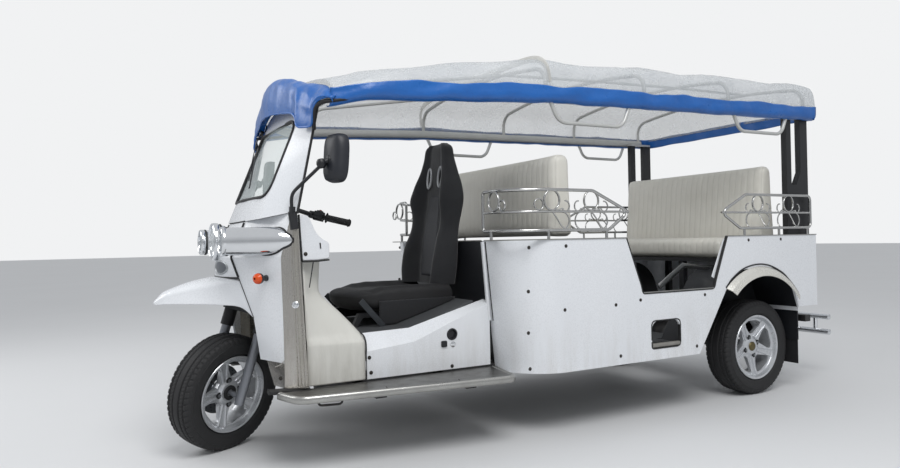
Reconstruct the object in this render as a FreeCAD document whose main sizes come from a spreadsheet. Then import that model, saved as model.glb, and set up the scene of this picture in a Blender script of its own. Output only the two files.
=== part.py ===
"""Six-seat open auto rickshaw, in millimetres.

X points forward, Y to the left and Z up. The origin is on the ground, under the middle of the
vehicle's overall length and width. Each size that can be set by itself is one row of SIZES.
"""
import FreeCAD
import Part
import Sketcher
import math
import os
import re

Vector = FreeCAD.Vector
Placement = FreeCAD.Placement
Rotation = FreeCAD.Rotation

# Driving dimensions: name, value, what it is
SIZES = [
    ("front_axle_x", 1745, "front axle ahead of the origin"),
    ("rear_axle_x", -1200, "rear axle"),
    ("front_tyre_radius", 266.5, "outside radius of the front tyre"),
    ("front_tyre_width", 150, "section width of the front tyre"),
    ("front_rim_radius", 178, "flange radius of the front rim"),
    ("rear_tyre_radius", 280, "outside radius of a rear tyre"),
    ("rear_tyre_width", 165, "section width of a rear tyre"),
    ("rear_rim_radius", 190, "flange radius of a rear rim"),
    ("rear_track", 1120, "between the middles of the rear tyres"),
    ("rake", 17, "steering axis leans back, degrees"),
    ("steer_rest", 30, "front wheel stands turned left, degrees"),
    ("fork_spread", 224, "between the middles of the fork legs"),
    ("slider_radius", 22, "lower fork leg"),
    ("stanchion_radius", 16, "upper fork leg"),
    ("crown_height", 372, "underside of the fork crown above the axle, along the fork"),
    ("crown_thickness", 36, "fork crown"),
    ("head_length", 150, "steering head tube"),
    ("stem_radius", 17, "steering stem"),
    ("bar_height", 905, "handlebar clamp above the axle, along the steering axis"),
    ("bar_half", 310, "half the handlebar's width"),
    ("bar_pull", 180, "grips behind the steering axis"),
    ("bar_radius", 11, "handlebar tube"),
    ("grip_radius", 16, "hand grip"),
    ("nose_half", 172, "half the width of the nose panel's top"),
    ("cowl_half", 430, "half the width where the cowl meets the corner plate"),
    ("cab_half", 478, "half the width of the cab's front corner"),
    ("cowl_back_x", 1580, "rear edge of the painted cowl"),
    ("cab_corner_x", 1490, "foot of the cab's front corner"),
    ("seam_height", 1050, "joint of cowl and windscreen frame"),
    ("skin", 8, "thickness of a body panel"),
    ("sill_half", 450, "half the width over the sills"),
    ("sill_foot", 334, "foot of the sill"),
    ("sill_front_x", 1215, "joint of front fairing and sill"),
    ("deck_height", 535, "deck under the driver's seat"),
    ("board_top", 325, "top of the running board"),
    ("board_thickness", 24, "running board and its nosing"),
    ("board_front_half", 600, "half the width over the running boards in front"),
    ("board_rear_half", 722, "half the width over the running boards behind"),
    ("body_half", 710, "half the width of the passenger body"),
    ("body_front_x", 590, "front of the body at its top"),
    ("body_front_lean", 62, "front of the body slopes back to its foot"),
    ("body_corner", 240, "plan radius of the body's front corners"),
    ("body_rear_x", -1675, "rear of the body"),
    ("body_top", 942, "top of the body sides"),
    ("body_foot", 306, "foot of the body sides"),
    ("body_tail_foot", 509, "foot of the body behind the rear wheel"),
    ("wall", 12, "thickness of the body wall"),
    ("floor_height", 350, "passenger floor"),
    ("roof_half", 655, "roof side tube from the middle, at the first bow"),
    ("roof_tube_height", 1640, "roof side tube at the first bow"),
    ("roof_tube_radius", 26, "roof side tube"),
    ("bow_radius", 10, "roof bow"),
    ("bench_half", 600, "half the width of a bench"),
    ("bench_top", 935, "top of a bench cushion"),
    ("bench_cushion", 120, "thickness of a bench cushion"),
    ("back_top", 1390, "top of a bench back"),
    ("rail_radius", 8, "guard rail tube"),
    ("rail_bottom", 988, "lowest bar of a guard rail"),
    ("rail_middle", 1078, "middle bar of a guard rail"),
    ("rail_top", 1182, "top bar of a guard rail"),
    ("bumper_radius", 19, "rear bumper tube"),
    ("bumper_x", -2021, "middle of the rear bumper's tubes"),
]

doc = FreeCAD.newDocument("auto_rickshaw")
sheet = doc.addObject("Spreadsheet::Sheet", "Sizes")
for row, (alias, value, note) in enumerate(SIZES, start=1):
    sheet.set("A%d" % row, str(value))
    sheet.setAlias("A%d" % row, alias)
    sheet.set("B%d" % row, note)
doc.recompute()
ALIASES = {alias for alias, value, note in SIZES}
NODES = []


def formula(text):
    """Write a formula of size names as an expression on the sheet."""
    def name(match):
        word = match.group()
        return "Sizes." + word if word in ALIASES else word
    return re.sub(r"[A-Za-z_][A-Za-z_0-9]*", name, str(text))


def size(text):
    """Give the present value of a formula of size names."""
    return float(sheet.evalExpression(formula(text)))


def bind(item, prop, text):
    """Tie one property of an object to a formula of size names."""
    item.setExpression(prop, formula(text))


def bind_base(item, place):
    """Tie an object's position to three formulas."""
    for axis, text in zip("xyz", place):
        bind(item, "Placement.Base." + axis, text)


def node(item, label, placement=None):
    """Keep an object as one sub-part, under the name of its file."""
    item.Label = label
    if placement is not None:
        item.Placement = placement
    NODES.append(item)
    return item


def box(name, corner, spans):
    """Box from its lowest corner and its three spans, all formulas."""
    item = doc.addObject("Part::Box", name)
    for prop, text in zip(("Length", "Width", "Height"), spans):
        bind(item, prop, text)
    bind_base(item, corner)
    return item


AXIS_TURN = {
    "X": Rotation(Vector(0, 1, 0), 90),
    "Y": Rotation(Vector(1, 0, 0), -90),
    "Z": Rotation(),
}


def rod(name, start, length, radius, axis="Z"):
    """Cylinder that starts at a point and runs along an axis."""
    item = doc.addObject("Part::Cylinder", name)
    item.Placement = Placement(Vector(), AXIS_TURN[axis])
    bind(item, "Radius", radius)
    bind(item, "Height", length)
    bind_base(item, start)
    return item


def join(name, pieces):
    """Pieces welded into one."""
    item = doc.addObject("Part::MultiFuse", name)
    item.Shapes = pieces
    return item


def cut(name, base, tool):
    """One piece less another."""
    item = doc.addObject("Part::Cut", name)
    item.Base = base
    item.Tool = tool
    return item


def mirrored(name, source):
    """The same piece on the other side of the vehicle."""
    item = doc.addObject("Part::Mirroring", name)
    item.Source = source
    item.Normal = Vector(0, 1, 0)
    return item


def group(name, pieces):
    """Separate pieces kept together as one sub-part."""
    item = doc.addObject("Part::Compound", name)
    item.Links = pieces
    return item


def pair(name, source):
    """A piece and its mirror image on the right side."""
    return group(name, [source, mirrored(name + "_right", source)])


PLANES = {
    "XY": Rotation(),
    "XZ": Rotation(Vector(1, 0, 0), 90),
    "YZ": Rotation(Vector(1, 1, 1), 120),
}


def outline(sketch, corners):
    """Draw a closed outline in a sketch.

    Each corner is (x, y) or (x, y, radius) in formulas. A corner with a radius is rounded by an
    arc tangent to its two sides, and its point stays as a construction point.
    """
    spots = [Vector(size(corner[0]), size(corner[1]), 0) for corner in corners]
    count = len(corners)
    ends = []
    for index, corner in enumerate(corners):
        spot = spots[index]
        before = (spots[index - 1] - spot).normalize()
        after = (spots[(index + 1) % count] - spot).normalize()
        if len(corner) < 3:
            ends.append((spot, spot, None))
            continue
        radius = size(corner[2])
        half = before.getAngle(after) / 2
        reach = radius / math.tan(half)
        middle = spot + (before + after).normalize() * (radius / math.sin(half))
        ends.append((spot + before * reach, spot + after * reach, middle))
    lines = []
    for index in range(count):
        start = ends[index][1]
        stop = ends[(index + 1) % count][0]
        lines.append(sketch.addGeometry(Part.LineSegment(start, stop), False))
    for index, corner in enumerate(corners):
        last = lines[index - 1]
        line = lines[index]
        if ends[index][2] is None:
            sketch.addConstraint(Sketcher.Constraint("Coincident", last, 2, line, 1))
            held = (line, 1)
        else:
            point = sketch.addGeometry(Part.Point(spots[index]), True)
            sketch.addConstraint(Sketcher.Constraint("PointOnObject", point, 1, last))
            sketch.addConstraint(Sketcher.Constraint("PointOnObject", point, 1, line))
            first, second, middle = ends[index]
            turn = (first - middle).cross(second - middle).z
            angle_a = math.atan2(first.y - middle.y, first.x - middle.x)
            angle_b = math.atan2(second.y - middle.y, second.x - middle.x)
            if turn < 0:
                angle_a, angle_b = angle_b, angle_a
            circle = Part.Circle(middle, Vector(0, 0, 1), (first - middle).Length)
            arc = sketch.addGeometry(Part.ArcOfCircle(circle, angle_a, angle_b), False)
            near, far = (1, 2) if turn > 0 else (2, 1)
            sketch.addConstraint(Sketcher.Constraint("Tangent", last, 2, arc, near))
            sketch.addConstraint(Sketcher.Constraint("Tangent", arc, far, line, 1))
            rule = sketch.addConstraint(Sketcher.Constraint("Radius", arc, size(corner[2])))
            bind(sketch, "Constraints[%d]" % rule, corner[2])
            held = (point, 1)
        for kind, text in (("DistanceX", corner[0]), ("DistanceY", corner[1])):
            rule = sketch.addConstraint(Sketcher.Constraint(kind, -1, 1, held[0], held[1], size(text)))
            bind(sketch, "Constraints[%d]" % rule, text)
    return sketch


def slab(name, plane, corners, level, thickness):
    """Plate with a drawn outline, from a level of its plane.

    It grows towards +Z from an XY outline, towards -Y from an XZ outline (x, z) and towards +X
    from a YZ outline (y, z).
    """
    sketch = doc.addObject("Sketcher::SketchObject", name + "_outline")
    sketch.Placement = Placement(Vector(), PLANES[plane])
    bind(sketch, {"XY": "Placement.Base.z", "XZ": "Placement.Base.y", "YZ": "Placement.Base.x"}[plane], level)
    outline(sketch, corners)
    item = doc.addObject("Part::Extrusion", name)
    item.Base = sketch
    item.DirMode = "Normal"
    item.Solid = True
    bind(item, "LengthFwd", thickness)
    return item


def feature(name, shape):
    """A shape that is worked out from the sheet's values."""
    item = doc.addObject("Part::Feature", name)
    item.Shape = shape
    return item


def path_wire(points, bend):
    """Straight runs through points, with tangent arcs of one radius at the corners."""
    edges = []
    here = points[0]
    for index in range(1, len(points) - 1):
        spot = points[index]
        before = (points[index - 1] - spot).normalize()
        after = (points[index + 1] - spot).normalize()
        half = before.getAngle(after) / 2
        reach = bend / math.tan(half)
        first = spot + before * reach
        second = spot + after * reach
        centre = spot + (before + after).normalize() * (bend / math.sin(half))
        middle = centre + (spot - centre).normalize() * bend
        if (first - here).Length > 0.01:
            edges.append(Part.LineSegment(here, first).toShape())
        edges.append(Part.Arc(first, middle, second).toShape())
        here = second
    edges.append(Part.LineSegment(here, points[-1]).toShape())
    return Part.Wire(edges)


def bent_tube(points, radius, bend=60):
    """Round tube swept along straight runs and tangent arcs."""
    points = [Vector(*point) for point in points]
    wire = path_wire(points, bend) if len(points) > 2 else Part.Wire(
        [Part.LineSegment(points[0], points[1]).toShape()])
    way = points[1] - points[0]
    ring = Part.Wire([Part.makeCircle(radius, points[0], way)])
    return wire.makePipeShell([ring], True, False)


def welded(shapes):
    """Shapes fused into one solid."""
    whole = shapes[0].multiFuse(shapes[1:]) if len(shapes) > 1 else shapes[0]
    return whole


def ruled(sections):
    """Solid with straight sides through closed sections of lines and arcs."""
    return Part.makeLoft(sections, True, True)


def band(points, inward):
    """Closed section of a wall: an open line of points and the same line moved inward."""
    outer = [Vector(*point) for point in points]
    inner = [point + Vector(*inward) for point in outer]
    return Part.makePolygon(outer + inner[::-1] + [outer[0]])


def steered():
    """Place of the parts that steer: Z along the steering axis, Y along the front axle."""
    lean = Placement(Vector(size("front_axle_x"), 0, size("front_tyre_radius")),
                     Rotation(Vector(0, 1, 0), -size("rake")))
    return lean * Placement(Vector(), Rotation(Vector(0, 0, 1), size("steer_rest")))


def on_axis(along):
    """Point of the steering axis at a distance from the front axle."""
    angle = math.radians(size("rake"))
    return Vector(size("front_axle_x") - along * math.sin(angle), 0,
                  size("front_tyre_radius") + along * math.cos(angle))


def both_sides(points):
    """The same points on the right side."""
    return [(x, -y, z) for x, y, z in points]


# Chassis frame

def make_chassis():
    """Two channel rails with a step over the rear axle, cross tubes, neck and steering head."""
    rails = []
    for name, side in (("rail_left", 305), ("rail_right", -255)):
        rails.append(slab(name, "XZ", [
            (1400, "floor_height - 65"), (1400, "sill_foot - 0.5"), (1150, "sill_foot - 0.5"),
            (1120, "floor_height - 5"), (-800, "floor_height - 5"),
            (-900, 460), (-1640, 460), (-1640, 400), (-860, 400), (-770, "floor_height - 65"),
        ], side, 50))
    beams = []
    # Cross tubes: name, x, bottom, height, half length
    table = [
        ("beam_front", 1330, "floor_height - 65", 48, 256),
        ("beam_step_front", 1180, "board_top - board_thickness - 24.5", 24, 590),
        ("beam_step_rear", 760, "board_top - board_thickness - 24.5", 24, 640),
        ("beam_body_front", 400, "floor_height - 45", 40, "body_half - wall - 90"),
        ("beam_middle", -100, "floor_height - 45", 40, "body_half - wall - 0.5"),
        ("beam_back", -595, "floor_height - 45", 40, "body_half - wall - 0.5"),
        ("beam_tail", -1620, 410, 40, "body_half - wall - 0.5"),
    ]
    for name, x, bottom, height, half in table:
        beams.append(box(name, (x, "-(%s)" % half, bottom), (50, "2 * (%s)" % half, height)))
    neck = slab("neck", "XZ", [
        (1330, "floor_height - 65"), (1400, "floor_height - 65"), (1400, 560, 60), (1480, 690),
        (1590, 720), (1568, 790), (1420, 770, 60), (1330, 620),
    ], 30, 60)
    lug = slab("tow_lug", "XZ", [
        (-1621, 412), (-1585, 412), (-1585, 448), (-1621, 448), (-1700, 448, 17), (-1700, 412, 17),
    ], 8, 16)
    eye = rod("tow_eye", (-1680, -20, 430), 40, 9, "Y")
    body = cut("frame_weldment", join("frame_pieces", rails + beams + [neck, lug]), eye)
    foot = on_axis(size("crown_height + crown_thickness + 3"))
    top = on_axis(size("crown_height + crown_thickness + 3 + head_length"))
    head = feature("head_tube", Part.makeCylinder(
        size("stem_radius + 14"), size("head_length"), foot, top - foot))
    reach = on_axis(size("crown_height"))
    bore = feature("head_bore", Part.makeCylinder(
        size("stem_radius + 0.5"), size("head_length + 200"), reach, top - foot))
    whole = join("frame_with_head", [body, head])
    node(cut("chassis", whole, bore), "chassis_frame")


make_chassis()


# Power: battery block and driven rear axle

def make_power():
    """Battery block under the front bench, driven rear axle with its motor, leaf springs."""
    battery = box("battery_block", (-60, -235, "floor_height + 8.3"), (520, 470, 300))
    node(battery, "battery_box")
    half = "rear_track / 2 - 55"
    tube = rod("axle_tube", ("rear_axle_x", "-(%s)" % half, "rear_tyre_radius"), "2 * (%s)" % half, 32, "Y")
    spindle = rod("rear_spindle", ("rear_axle_x", "-(rear_track / 2 + 25)", "rear_tyre_radius"),
                  "rear_track + 50", 14, "Y")
    motor = rod("motor_case", ("rear_axle_x", -150, "rear_tyre_radius"), 300, 92, "Y")
    gear = rod("gear_case", ("rear_axle_x + 20", -60, "rear_tyre_radius"), 120, 105, "Y")
    springs = []
    for name, side in (("left", 305), ("right", -255)):
        springs.append(slab("leaf_" + name, "XZ", [
            (-900, 399.7), (-955, 399.7), (-1165, 338), (-1235, 338), (-1445, 399.7), (-1500, 399.7),
            (-1240, 306), (-1160, 306),
        ], side, 50))
    node(join("axle", [tube, spindle, motor, gear] + springs), "rear_axle")


make_power()


# Floor pan

def make_floor():
    """Deck under the driver's seat, and the passenger floor behind it."""
    deck = slab("deck", "XZ", [
        ("sill_front_x - 1", "deck_height"), (975, "deck_height + 5"), (620, 648),
        (620, 640), (975, "deck_height - 3"), ("sill_front_x - 1", "deck_height - 8"),
    ], "sill_half - 61.5", "2 * (sill_half - 61.5)")
    half = "body_half - wall - 0.5"
    front = "body_front_x - body_front_lean - wall - 6"
    floor = slab("floor_sheet", "XY", [
        (front, "-(%s)" % half, "body_corner - wall"), (front, half, "body_corner - wall"),
        (-598, half), (-598, 417), (-790, 417), (-790, -417), (-598, -417), (-598, "-(%s)" % half),
    ], "floor_height", 8)
    node(group("floors", [deck, floor]), "floor_panels")


make_floor()


# Wheels

def wheel_profile(name, radius, width, rim):
    """Tyre and rim turned about the Y axis, as two revolved solids.

    The tyre section has a flat tread, round shoulders, bulged side walls and two beads. The rim
    section is a well with two flanges, and a dished disc with a hub.
    """
    tyre = doc.addObject("Sketcher::SketchObject", name + "_tyre_section")
    outline(tyre, [
        ("-(%s) * 0.40" % width, "%s" % radius, "%s * 0.14" % width),
        ("-(%s) * 0.50" % width, "(%s) * 0.62 + (%s) * 0.38" % (radius, rim), "%s * 0.16" % width),
        ("-(%s) * 0.44 + 8.3" % width, "%s + 1" % rim),
        ("-(%s) * 0.44 + 8.3" % width, "%s - 7.7" % rim),
        ("-(%s) * 0.33" % width, "%s - 7.7" % rim),
        ("-(%s) * 0.40" % width, "(%s) * 0.56 + (%s) * 0.44" % (radius, rim)),
        ("-(%s) * 0.30" % width, "%s - 14" % radius),
        ("(%s) * 0.30" % width, "%s - 14" % radius),
        ("(%s) * 0.40" % width, "(%s) * 0.56 + (%s) * 0.44" % (radius, rim)),
        ("(%s) * 0.33" % width, "%s - 7.7" % rim),
        ("(%s) * 0.44 - 8.3" % width, "%s - 7.7" % rim),
        ("(%s) * 0.44 - 8.3" % width, "%s + 1" % rim),
        ("(%s) * 0.50" % width, "(%s) * 0.62 + (%s) * 0.38" % (radius, rim), "%s * 0.16" % width),
        ("(%s) * 0.40" % width, "%s" % radius, "%s * 0.14" % width),
    ])
    turned = doc.addObject("Part::Revolution", name + "_tyre_turned")
    turned.Source = tyre
    turned.Axis = Vector(1, 0, 0)
    turned.Angle = 360
    turned.Solid = True
    return turned


def rim_body(name, width, rim, hub_bore):
    """Cast rim: well with flanges, dished face with five windows and a hub, about the X axis."""
    body = doc.addObject("PartDesign::Body", name)
    plane = next(item for item in body.Origin.OriginFeatures if item.Role == "XY_Plane")
    section = body.newObject("Sketcher::SketchObject", name + "_section")
    section.AttachmentSupport = [(plane, "")]
    section.MapMode = "FlatFace"
    face = "(%s) * 0.30" % width
    outline(section, [
        ("-(%s) * 0.44" % width, "%s" % rim),
        ("-(%s) * 0.44" % width, "%s - 12" % rim),
        ("-(%s) * 0.30" % width, "%s - 26" % rim),
        ("%s - 16" % face, "%s - 26" % rim),
        ("%s - 40" % face, "%s * 0.45" % rim, 20),
        ("%s - 46" % face, "55"),
        ("%s - 70" % face, "55"),
        ("%s - 70" % face, hub_bore),
        ("%s - 12" % face, hub_bore),
        ("%s - 12" % face, "45", 6),
        ("%s - 22" % face, "60", 12),
        ("%s" % face, "%s - 20" % rim, 10),
        ("(%s) * 0.44" % width, "%s - 12" % rim),
        ("(%s) * 0.44" % width, "%s" % rim),
        ("(%s) * 0.44 - 6" % width, "%s" % rim),
        ("(%s) * 0.44 - 8" % width, "%s - 8" % rim),
        ("(%s) * 0.30" % width, "%s - 10" % rim),
        ("(%s) * 0.22" % width, "%s - 20" % rim),
        ("-(%s) * 0.30" % width, "%s - 20" % rim),
        ("-(%s) * 0.44 + 8" % width, "%s - 8" % rim),
        ("-(%s) * 0.44 + 6" % width, "%s" % rim),
    ])
    turned = body.newObject("PartDesign::Revolution", name + "_turned")
    turned.Profile = section
    turned.ReferenceAxis = (section, ["H_Axis"])
    turned.Angle = 360
    side = next(item for item in body.Origin.OriginFeatures if item.Role == "YZ_Plane")
    window = body.newObject("Sketcher::SketchObject", name + "_window")
    window.AttachmentSupport = [(side, "")]
    window.MapMode = "FlatFace"
    outline(window, [
        ("-12", "%s * 0.40" % rim, 8),
        ("12", "%s * 0.40" % rim, 8),
        ("(%s) * 0.40" % rim, "(%s) * 0.72" % rim, 14),
        ("(%s) * 0.20" % rim, "(%s) * 0.82" % rim, 30),
        ("-(%s) * 0.20" % rim, "(%s) * 0.82" % rim, 30),
        ("-(%s) * 0.40" % rim, "(%s) * 0.72" % rim, 14),
    ])
    pocket = body.newObject("PartDesign::Pocket", name + "_opening")
    pocket.Profile = window
    pocket.Type = "ThroughAll"
    pocket.Midplane = True
    doc.recompute()
    pattern = body.newObject("PartDesign::PolarPattern", name + "_windows")
    pattern.Originals = [pocket]
    pattern.Axis = (section, ["H_Axis"])
    pattern.Angle = 360
    pattern.Occurrences = 5
    body.Tip = pattern
    return body


def make_wheels():
    """Three wheels, each a tyre and a cast rim, built about X and placed on their axles."""
    along_y = Rotation(Vector(0, 0, 1), 90)
    front = steered() * Placement(Vector(), along_y)
    tyre = wheel_profile("front", "front_tyre_radius", "front_tyre_width", "front_rim_radius")
    node(tyre, "front_tyre", front)
    rim = rim_body("front_rim_cast", "front_tyre_width", "front_rim_radius", 12.3)
    node(rim, "front_rim", front)
    # Rear wheels: side name, side of the vehicle, turn that faces the dish outward
    for side, sign, turn in (("left", 1, 90), ("right", -1, -90)):
        place = Placement(Vector(size("rear_axle_x"), sign * size("rear_track") / 2,
                                 size("rear_tyre_radius")), Rotation(Vector(0, 0, 1), turn))
        tyre = wheel_profile("rear_" + side, "rear_tyre_radius", "rear_tyre_width", "rear_rim_radius")
        node(tyre, "rear_%s_tyre" % side, place)
        rim = rim_body("rear_%s_rim_cast" % side, "rear_tyre_width", "rear_rim_radius", 14.3)
        node(rim, "rear_%s_rim" % side, place)


make_wheels()


# Steering: fork, axle, handlebar

def make_steering():
    """Telescopic fork with its crown and stem, axle, bar and grips, in the steered frame."""
    place = steered()
    legs = []
    for name, side in (("left", 1), ("right", -1)):
        y = "%d * fork_spread / 2" % side
        slider = rod("slider_" + name, (0, y, -38), 330, "slider_radius")
        gaiter = rod("gaiter_" + name, (0, y, 292.3), "crown_height - 292.6", "slider_radius + 8")
        legs += [slider, gaiter]
    sliders = [legs[0], legs[2]]
    axle = rod("front_spindle", (0, "-(fork_spread / 2 - slider_radius + 6)", 0),
               "fork_spread - 2 * slider_radius + 12", 12, "Y")
    node(join("fork_lower", sliders + [axle]), "fork_legs", place)
    crown = slab("crown_plate", "XY", [
        ("-36", "-(fork_spread / 2 + 34)", 24), ("36", "-(fork_spread / 2 + 34)", 24),
        ("36", "fork_spread / 2 + 34", 24), ("-36", "fork_spread / 2 + 34", 24),
    ], "crown_height", "crown_thickness")
    stem = rod("stem", (0, 0, "crown_height"), "bar_height - crown_height - 20", "stem_radius")
    clamp = slab("bar_clamp", "XY", [
        ("-26", "-60", 10), ("26", "-60", 10), ("26", "60", 10), ("-26", "60", 10),
    ], "bar_height - 40", "29")
    node(join("fork_upper", [crown, stem, clamp]), "fork_crown", place)
    node(join("fork_gaiters", [legs[1], legs[3]]), "fork_gaiters", place)
    half = size("bar_half")
    pull = size("bar_pull")
    high = size("bar_height")
    route = [
        (-pull, half, high), (-pull * 0.55, half * 0.42, high), (0, 70, high),
        (0, -70, high), (-pull * 0.55, -half * 0.42, high), (-pull, -half, high),
    ]
    bar = bent_tube(route, size("bar_radius"), 45)
    node(feature("bar_tube", bar), "handlebar", place)
    grips = []
    for y in (1, -1):
        knee = Vector(-pull * 0.55, y * half * 0.42, high)
        reach = Vector(-pull, y * half, high) - knee
        start = knee + reach * 0.2
        way = reach * 0.83
        sleeve = Part.makeCylinder(size("grip_radius"), way.Length, start, way)
        core = Part.makeCylinder(size("bar_radius + 0.3"), way.Length * 1.2, start - way * 0.1, way)
        grips.append(sleeve.cut(core))
    node(feature("grips", Part.makeCompound(grips)), "hand_grips", place)


make_steering()


# Front: nose, cowl, corner plates, mudguard, lamps

# Nose edge of the cowl: height, x, y beyond the nose panel's half width
NOSE_EDGE = [
    (440, 1639, 88),
    (620, 1663, 78),
    (790, 1712, 28),
    (890, 1741, 0),
    (1051, 1676, -12),
]
# Rear edge of the cowl at the same heights: height, x ahead of cowl_back_x, y beyond cowl_half
COWL_EDGE = [
    (440, 0, 0),
    (620, 2, 0),
    (790, 6, 0),
    (890, 8, 0),
    (1081, -38, 6),
]


def seam(x):
    """Height of the sloping joint between cowl and windscreen frame."""
    return size("seam_height") - 2 + 0.22 * (1690 - x)


def front_lines():
    """Nose edge and cowl edge as points, on the left side."""
    nose = [Vector(x, size("nose_half") + y, z) for z, x, y in NOSE_EDGE]
    rear = [Vector(size("cowl_back_x") + x, size("cowl_half") + y, z) for z, x, y in COWL_EDGE]
    nose[-1].z = seam(nose[-1].x)
    rear[-1].z = seam(rear[-1].x)
    return nose, rear


def level(points, top):
    """Points of one section, laid in the sloping plane of the seam where it is the top one."""
    return [Vector(point.x, point.y, seam(point.x) if top else point.z) for point in points]


def make_cowl():
    """Painted cowl sides, nose panel and stainless corner plates."""
    nose, rear = front_lines()
    skin = size("skin")
    sections = []
    for index, (a, b) in enumerate(zip(nose, rear)):
        loop = [a, b, b + Vector(-2, -skin, 0), a + Vector(-skin, 0, 0)]
        loop = level(loop, index == len(nose) - 1)
        sections.append(Part.makePolygon(loop + loop[:1]))
    node(pair("cowl_pair", feature("cowl_skin", ruled(sections))), "front_cowls")
    # Nose panel: x at the middle and the edge of the cowl beside it
    arcs = []
    foot = nose[2] + (nose[3] - nose[2]) * 0.095
    for middle, edge, low in ((1775, foot, 799.5), (1772, nose[3], 890), (1694, nose[4], None)):
        loop = [Vector(edge.x + 1, edge.y - 0.4, low or 0), Vector(middle, 0, low or 0)]
        loop += [point + Vector(-skin, 0, 0) for point in loop]
        side, front, side_in, front_in = level(loop, low is None)
        across = Vector(side.x, -side.y, side.z)
        across_in = Vector(side_in.x, -side_in.y, side_in.z)
        edges = [Part.Arc(side, front, across).toShape(), Part.LineSegment(across, across_in).toShape(),
                 Part.Arc(across_in, front_in, side_in).toShape(), Part.LineSegment(side_in, side).toShape()]
        arcs.append(Part.Wire(edges))
    node(feature("nose_skin", ruled(arcs)), "nose_panel")
    # Corner plate: rear edge of the cowl, the cab's corner, and a return behind it
    foot = Vector(rear[0].x, rear[0].y, size("sill_foot"))
    corner = size("cab_corner_x")
    half = size("cab_half")
    sections = []
    for index, edge in enumerate([foot] + rear):
        rise = (edge.z - foot.z) / 750
        start = edge + Vector(-0.6, 0.3, 0)
        turn = Vector(corner + 31 * rise, half - 28 * rise, edge.z)
        back = turn + Vector(-2, -27.5 + 2 * rise, 0)
        loop = [start, turn, back, back + Vector(skin, 0, 0), turn + Vector(skin * 0.7, -skin, 0),
                start + Vector(-2.1, -skin, 0)]
        loop = level(loop, index == len(rear))
        sections.append(Part.makePolygon(loop + loop[:1]))
    plate = ruled(sections)
    low = [Vector(1579.4, 430.3, foot.z), Vector(1600, 334, foot.z)]
    high = [Vector(1579.4, 430.3, 439), Vector(1622, 306, 439)]
    inward = Vector(-skin, -1, 0)
    skirt = ruled([band(low, inward), band(high, inward)])
    node(pair("corner_pair", feature("corner_plate", plate.fuse(skirt))), "corner_plates")


make_cowl()


# Front mudguard sections: x at height 700, lean ahead per height, edge y and z, shoulder y and z, crown z
MUDGUARD = [
    (2040, 0, 26, 686, 22, 698, 708),
    (1985, 0, 72, 690, 60, 716, 745),
    (1900, 0, 128, 688, 106, 738, 778),
    (1800, 0.15, 172, 682, 150, 757, 795),
    (1727, 0.5, 206, 670, 176, 774, 799),
    (1705.4, 0.554, 247, 624, 197, 784, 799),
]


def make_mudguard():
    """Beak-shaped mudguard fixed to the cowl: straight sides below an arched crown."""
    skin = 6
    sections = []
    for x, lean, ey, ez, sy, sz, cz in MUDGUARD:
        loops = []
        for drop in (0, skin):
            edge = Vector(0, ey - drop, ez)
            shoulder = Vector(0, sy - drop, sz - drop * 0.6)
            crown = Vector(0, 0, cz - drop)
            for point in (edge, shoulder, crown):
                point.x = x + lean * (point.z - 700)
            edge_r = Vector(edge.x, -edge.y, edge.z)
            shoulder_r = Vector(shoulder.x, -shoulder.y, shoulder.z)
            loops.append((edge, shoulder, crown, shoulder_r, edge_r))
        parts = []
        for edge, shoulder, crown, shoulder_r, edge_r in loops:
            parts.append(Part.LineSegment(edge, shoulder).toShape())
            parts.append(Part.Arc(shoulder, crown, shoulder_r).toShape())
            parts.append(Part.LineSegment(shoulder_r, edge_r).toShape())
        parts.append(Part.LineSegment(loops[0][0], loops[1][0]).toShape())
        parts.append(Part.LineSegment(loops[0][4], loops[1][4]).toShape())
        sections.append(Part.Wire(Part.sortEdges(parts)[0]))
    node(feature("mudguard_shell", ruled(sections)), "front_mudguard")


make_mudguard()


def front_core(grow):
    """Closed form of the nose and cowl, grown a little, that trims what is mounted on it."""
    nose, rear = front_lines()
    sections = []
    middles = (1700, 1740, 1776, 1772, 1694)
    for index, (middle, a, b) in enumerate(zip(middles, nose, rear)):
        a = a + Vector(grow, grow, 0)
        b = b + Vector(grow * 0.5, grow, 0)
        loop = level([a, b, Vector(b.x - 400, b.y, b.z), Vector(middle + grow, 0, a.z)], index == 4)
        a, b, back, front = loop
        mirror = [Vector(point.x, -point.y, point.z) for point in (a, b, back)]
        edges = [
            Part.Arc(mirror[0], front, a).toShape(),
            Part.LineSegment(a, b).toShape(),
            Part.LineSegment(b, back).toShape(),
            Part.LineSegment(back, mirror[2]).toShape(),
            Part.LineSegment(mirror[2], mirror[1]).toShape(),
            Part.LineSegment(mirror[1], mirror[0]).toShape(),
        ]
        sections.append(Part.Wire(edges))
    return ruled(sections)


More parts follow.
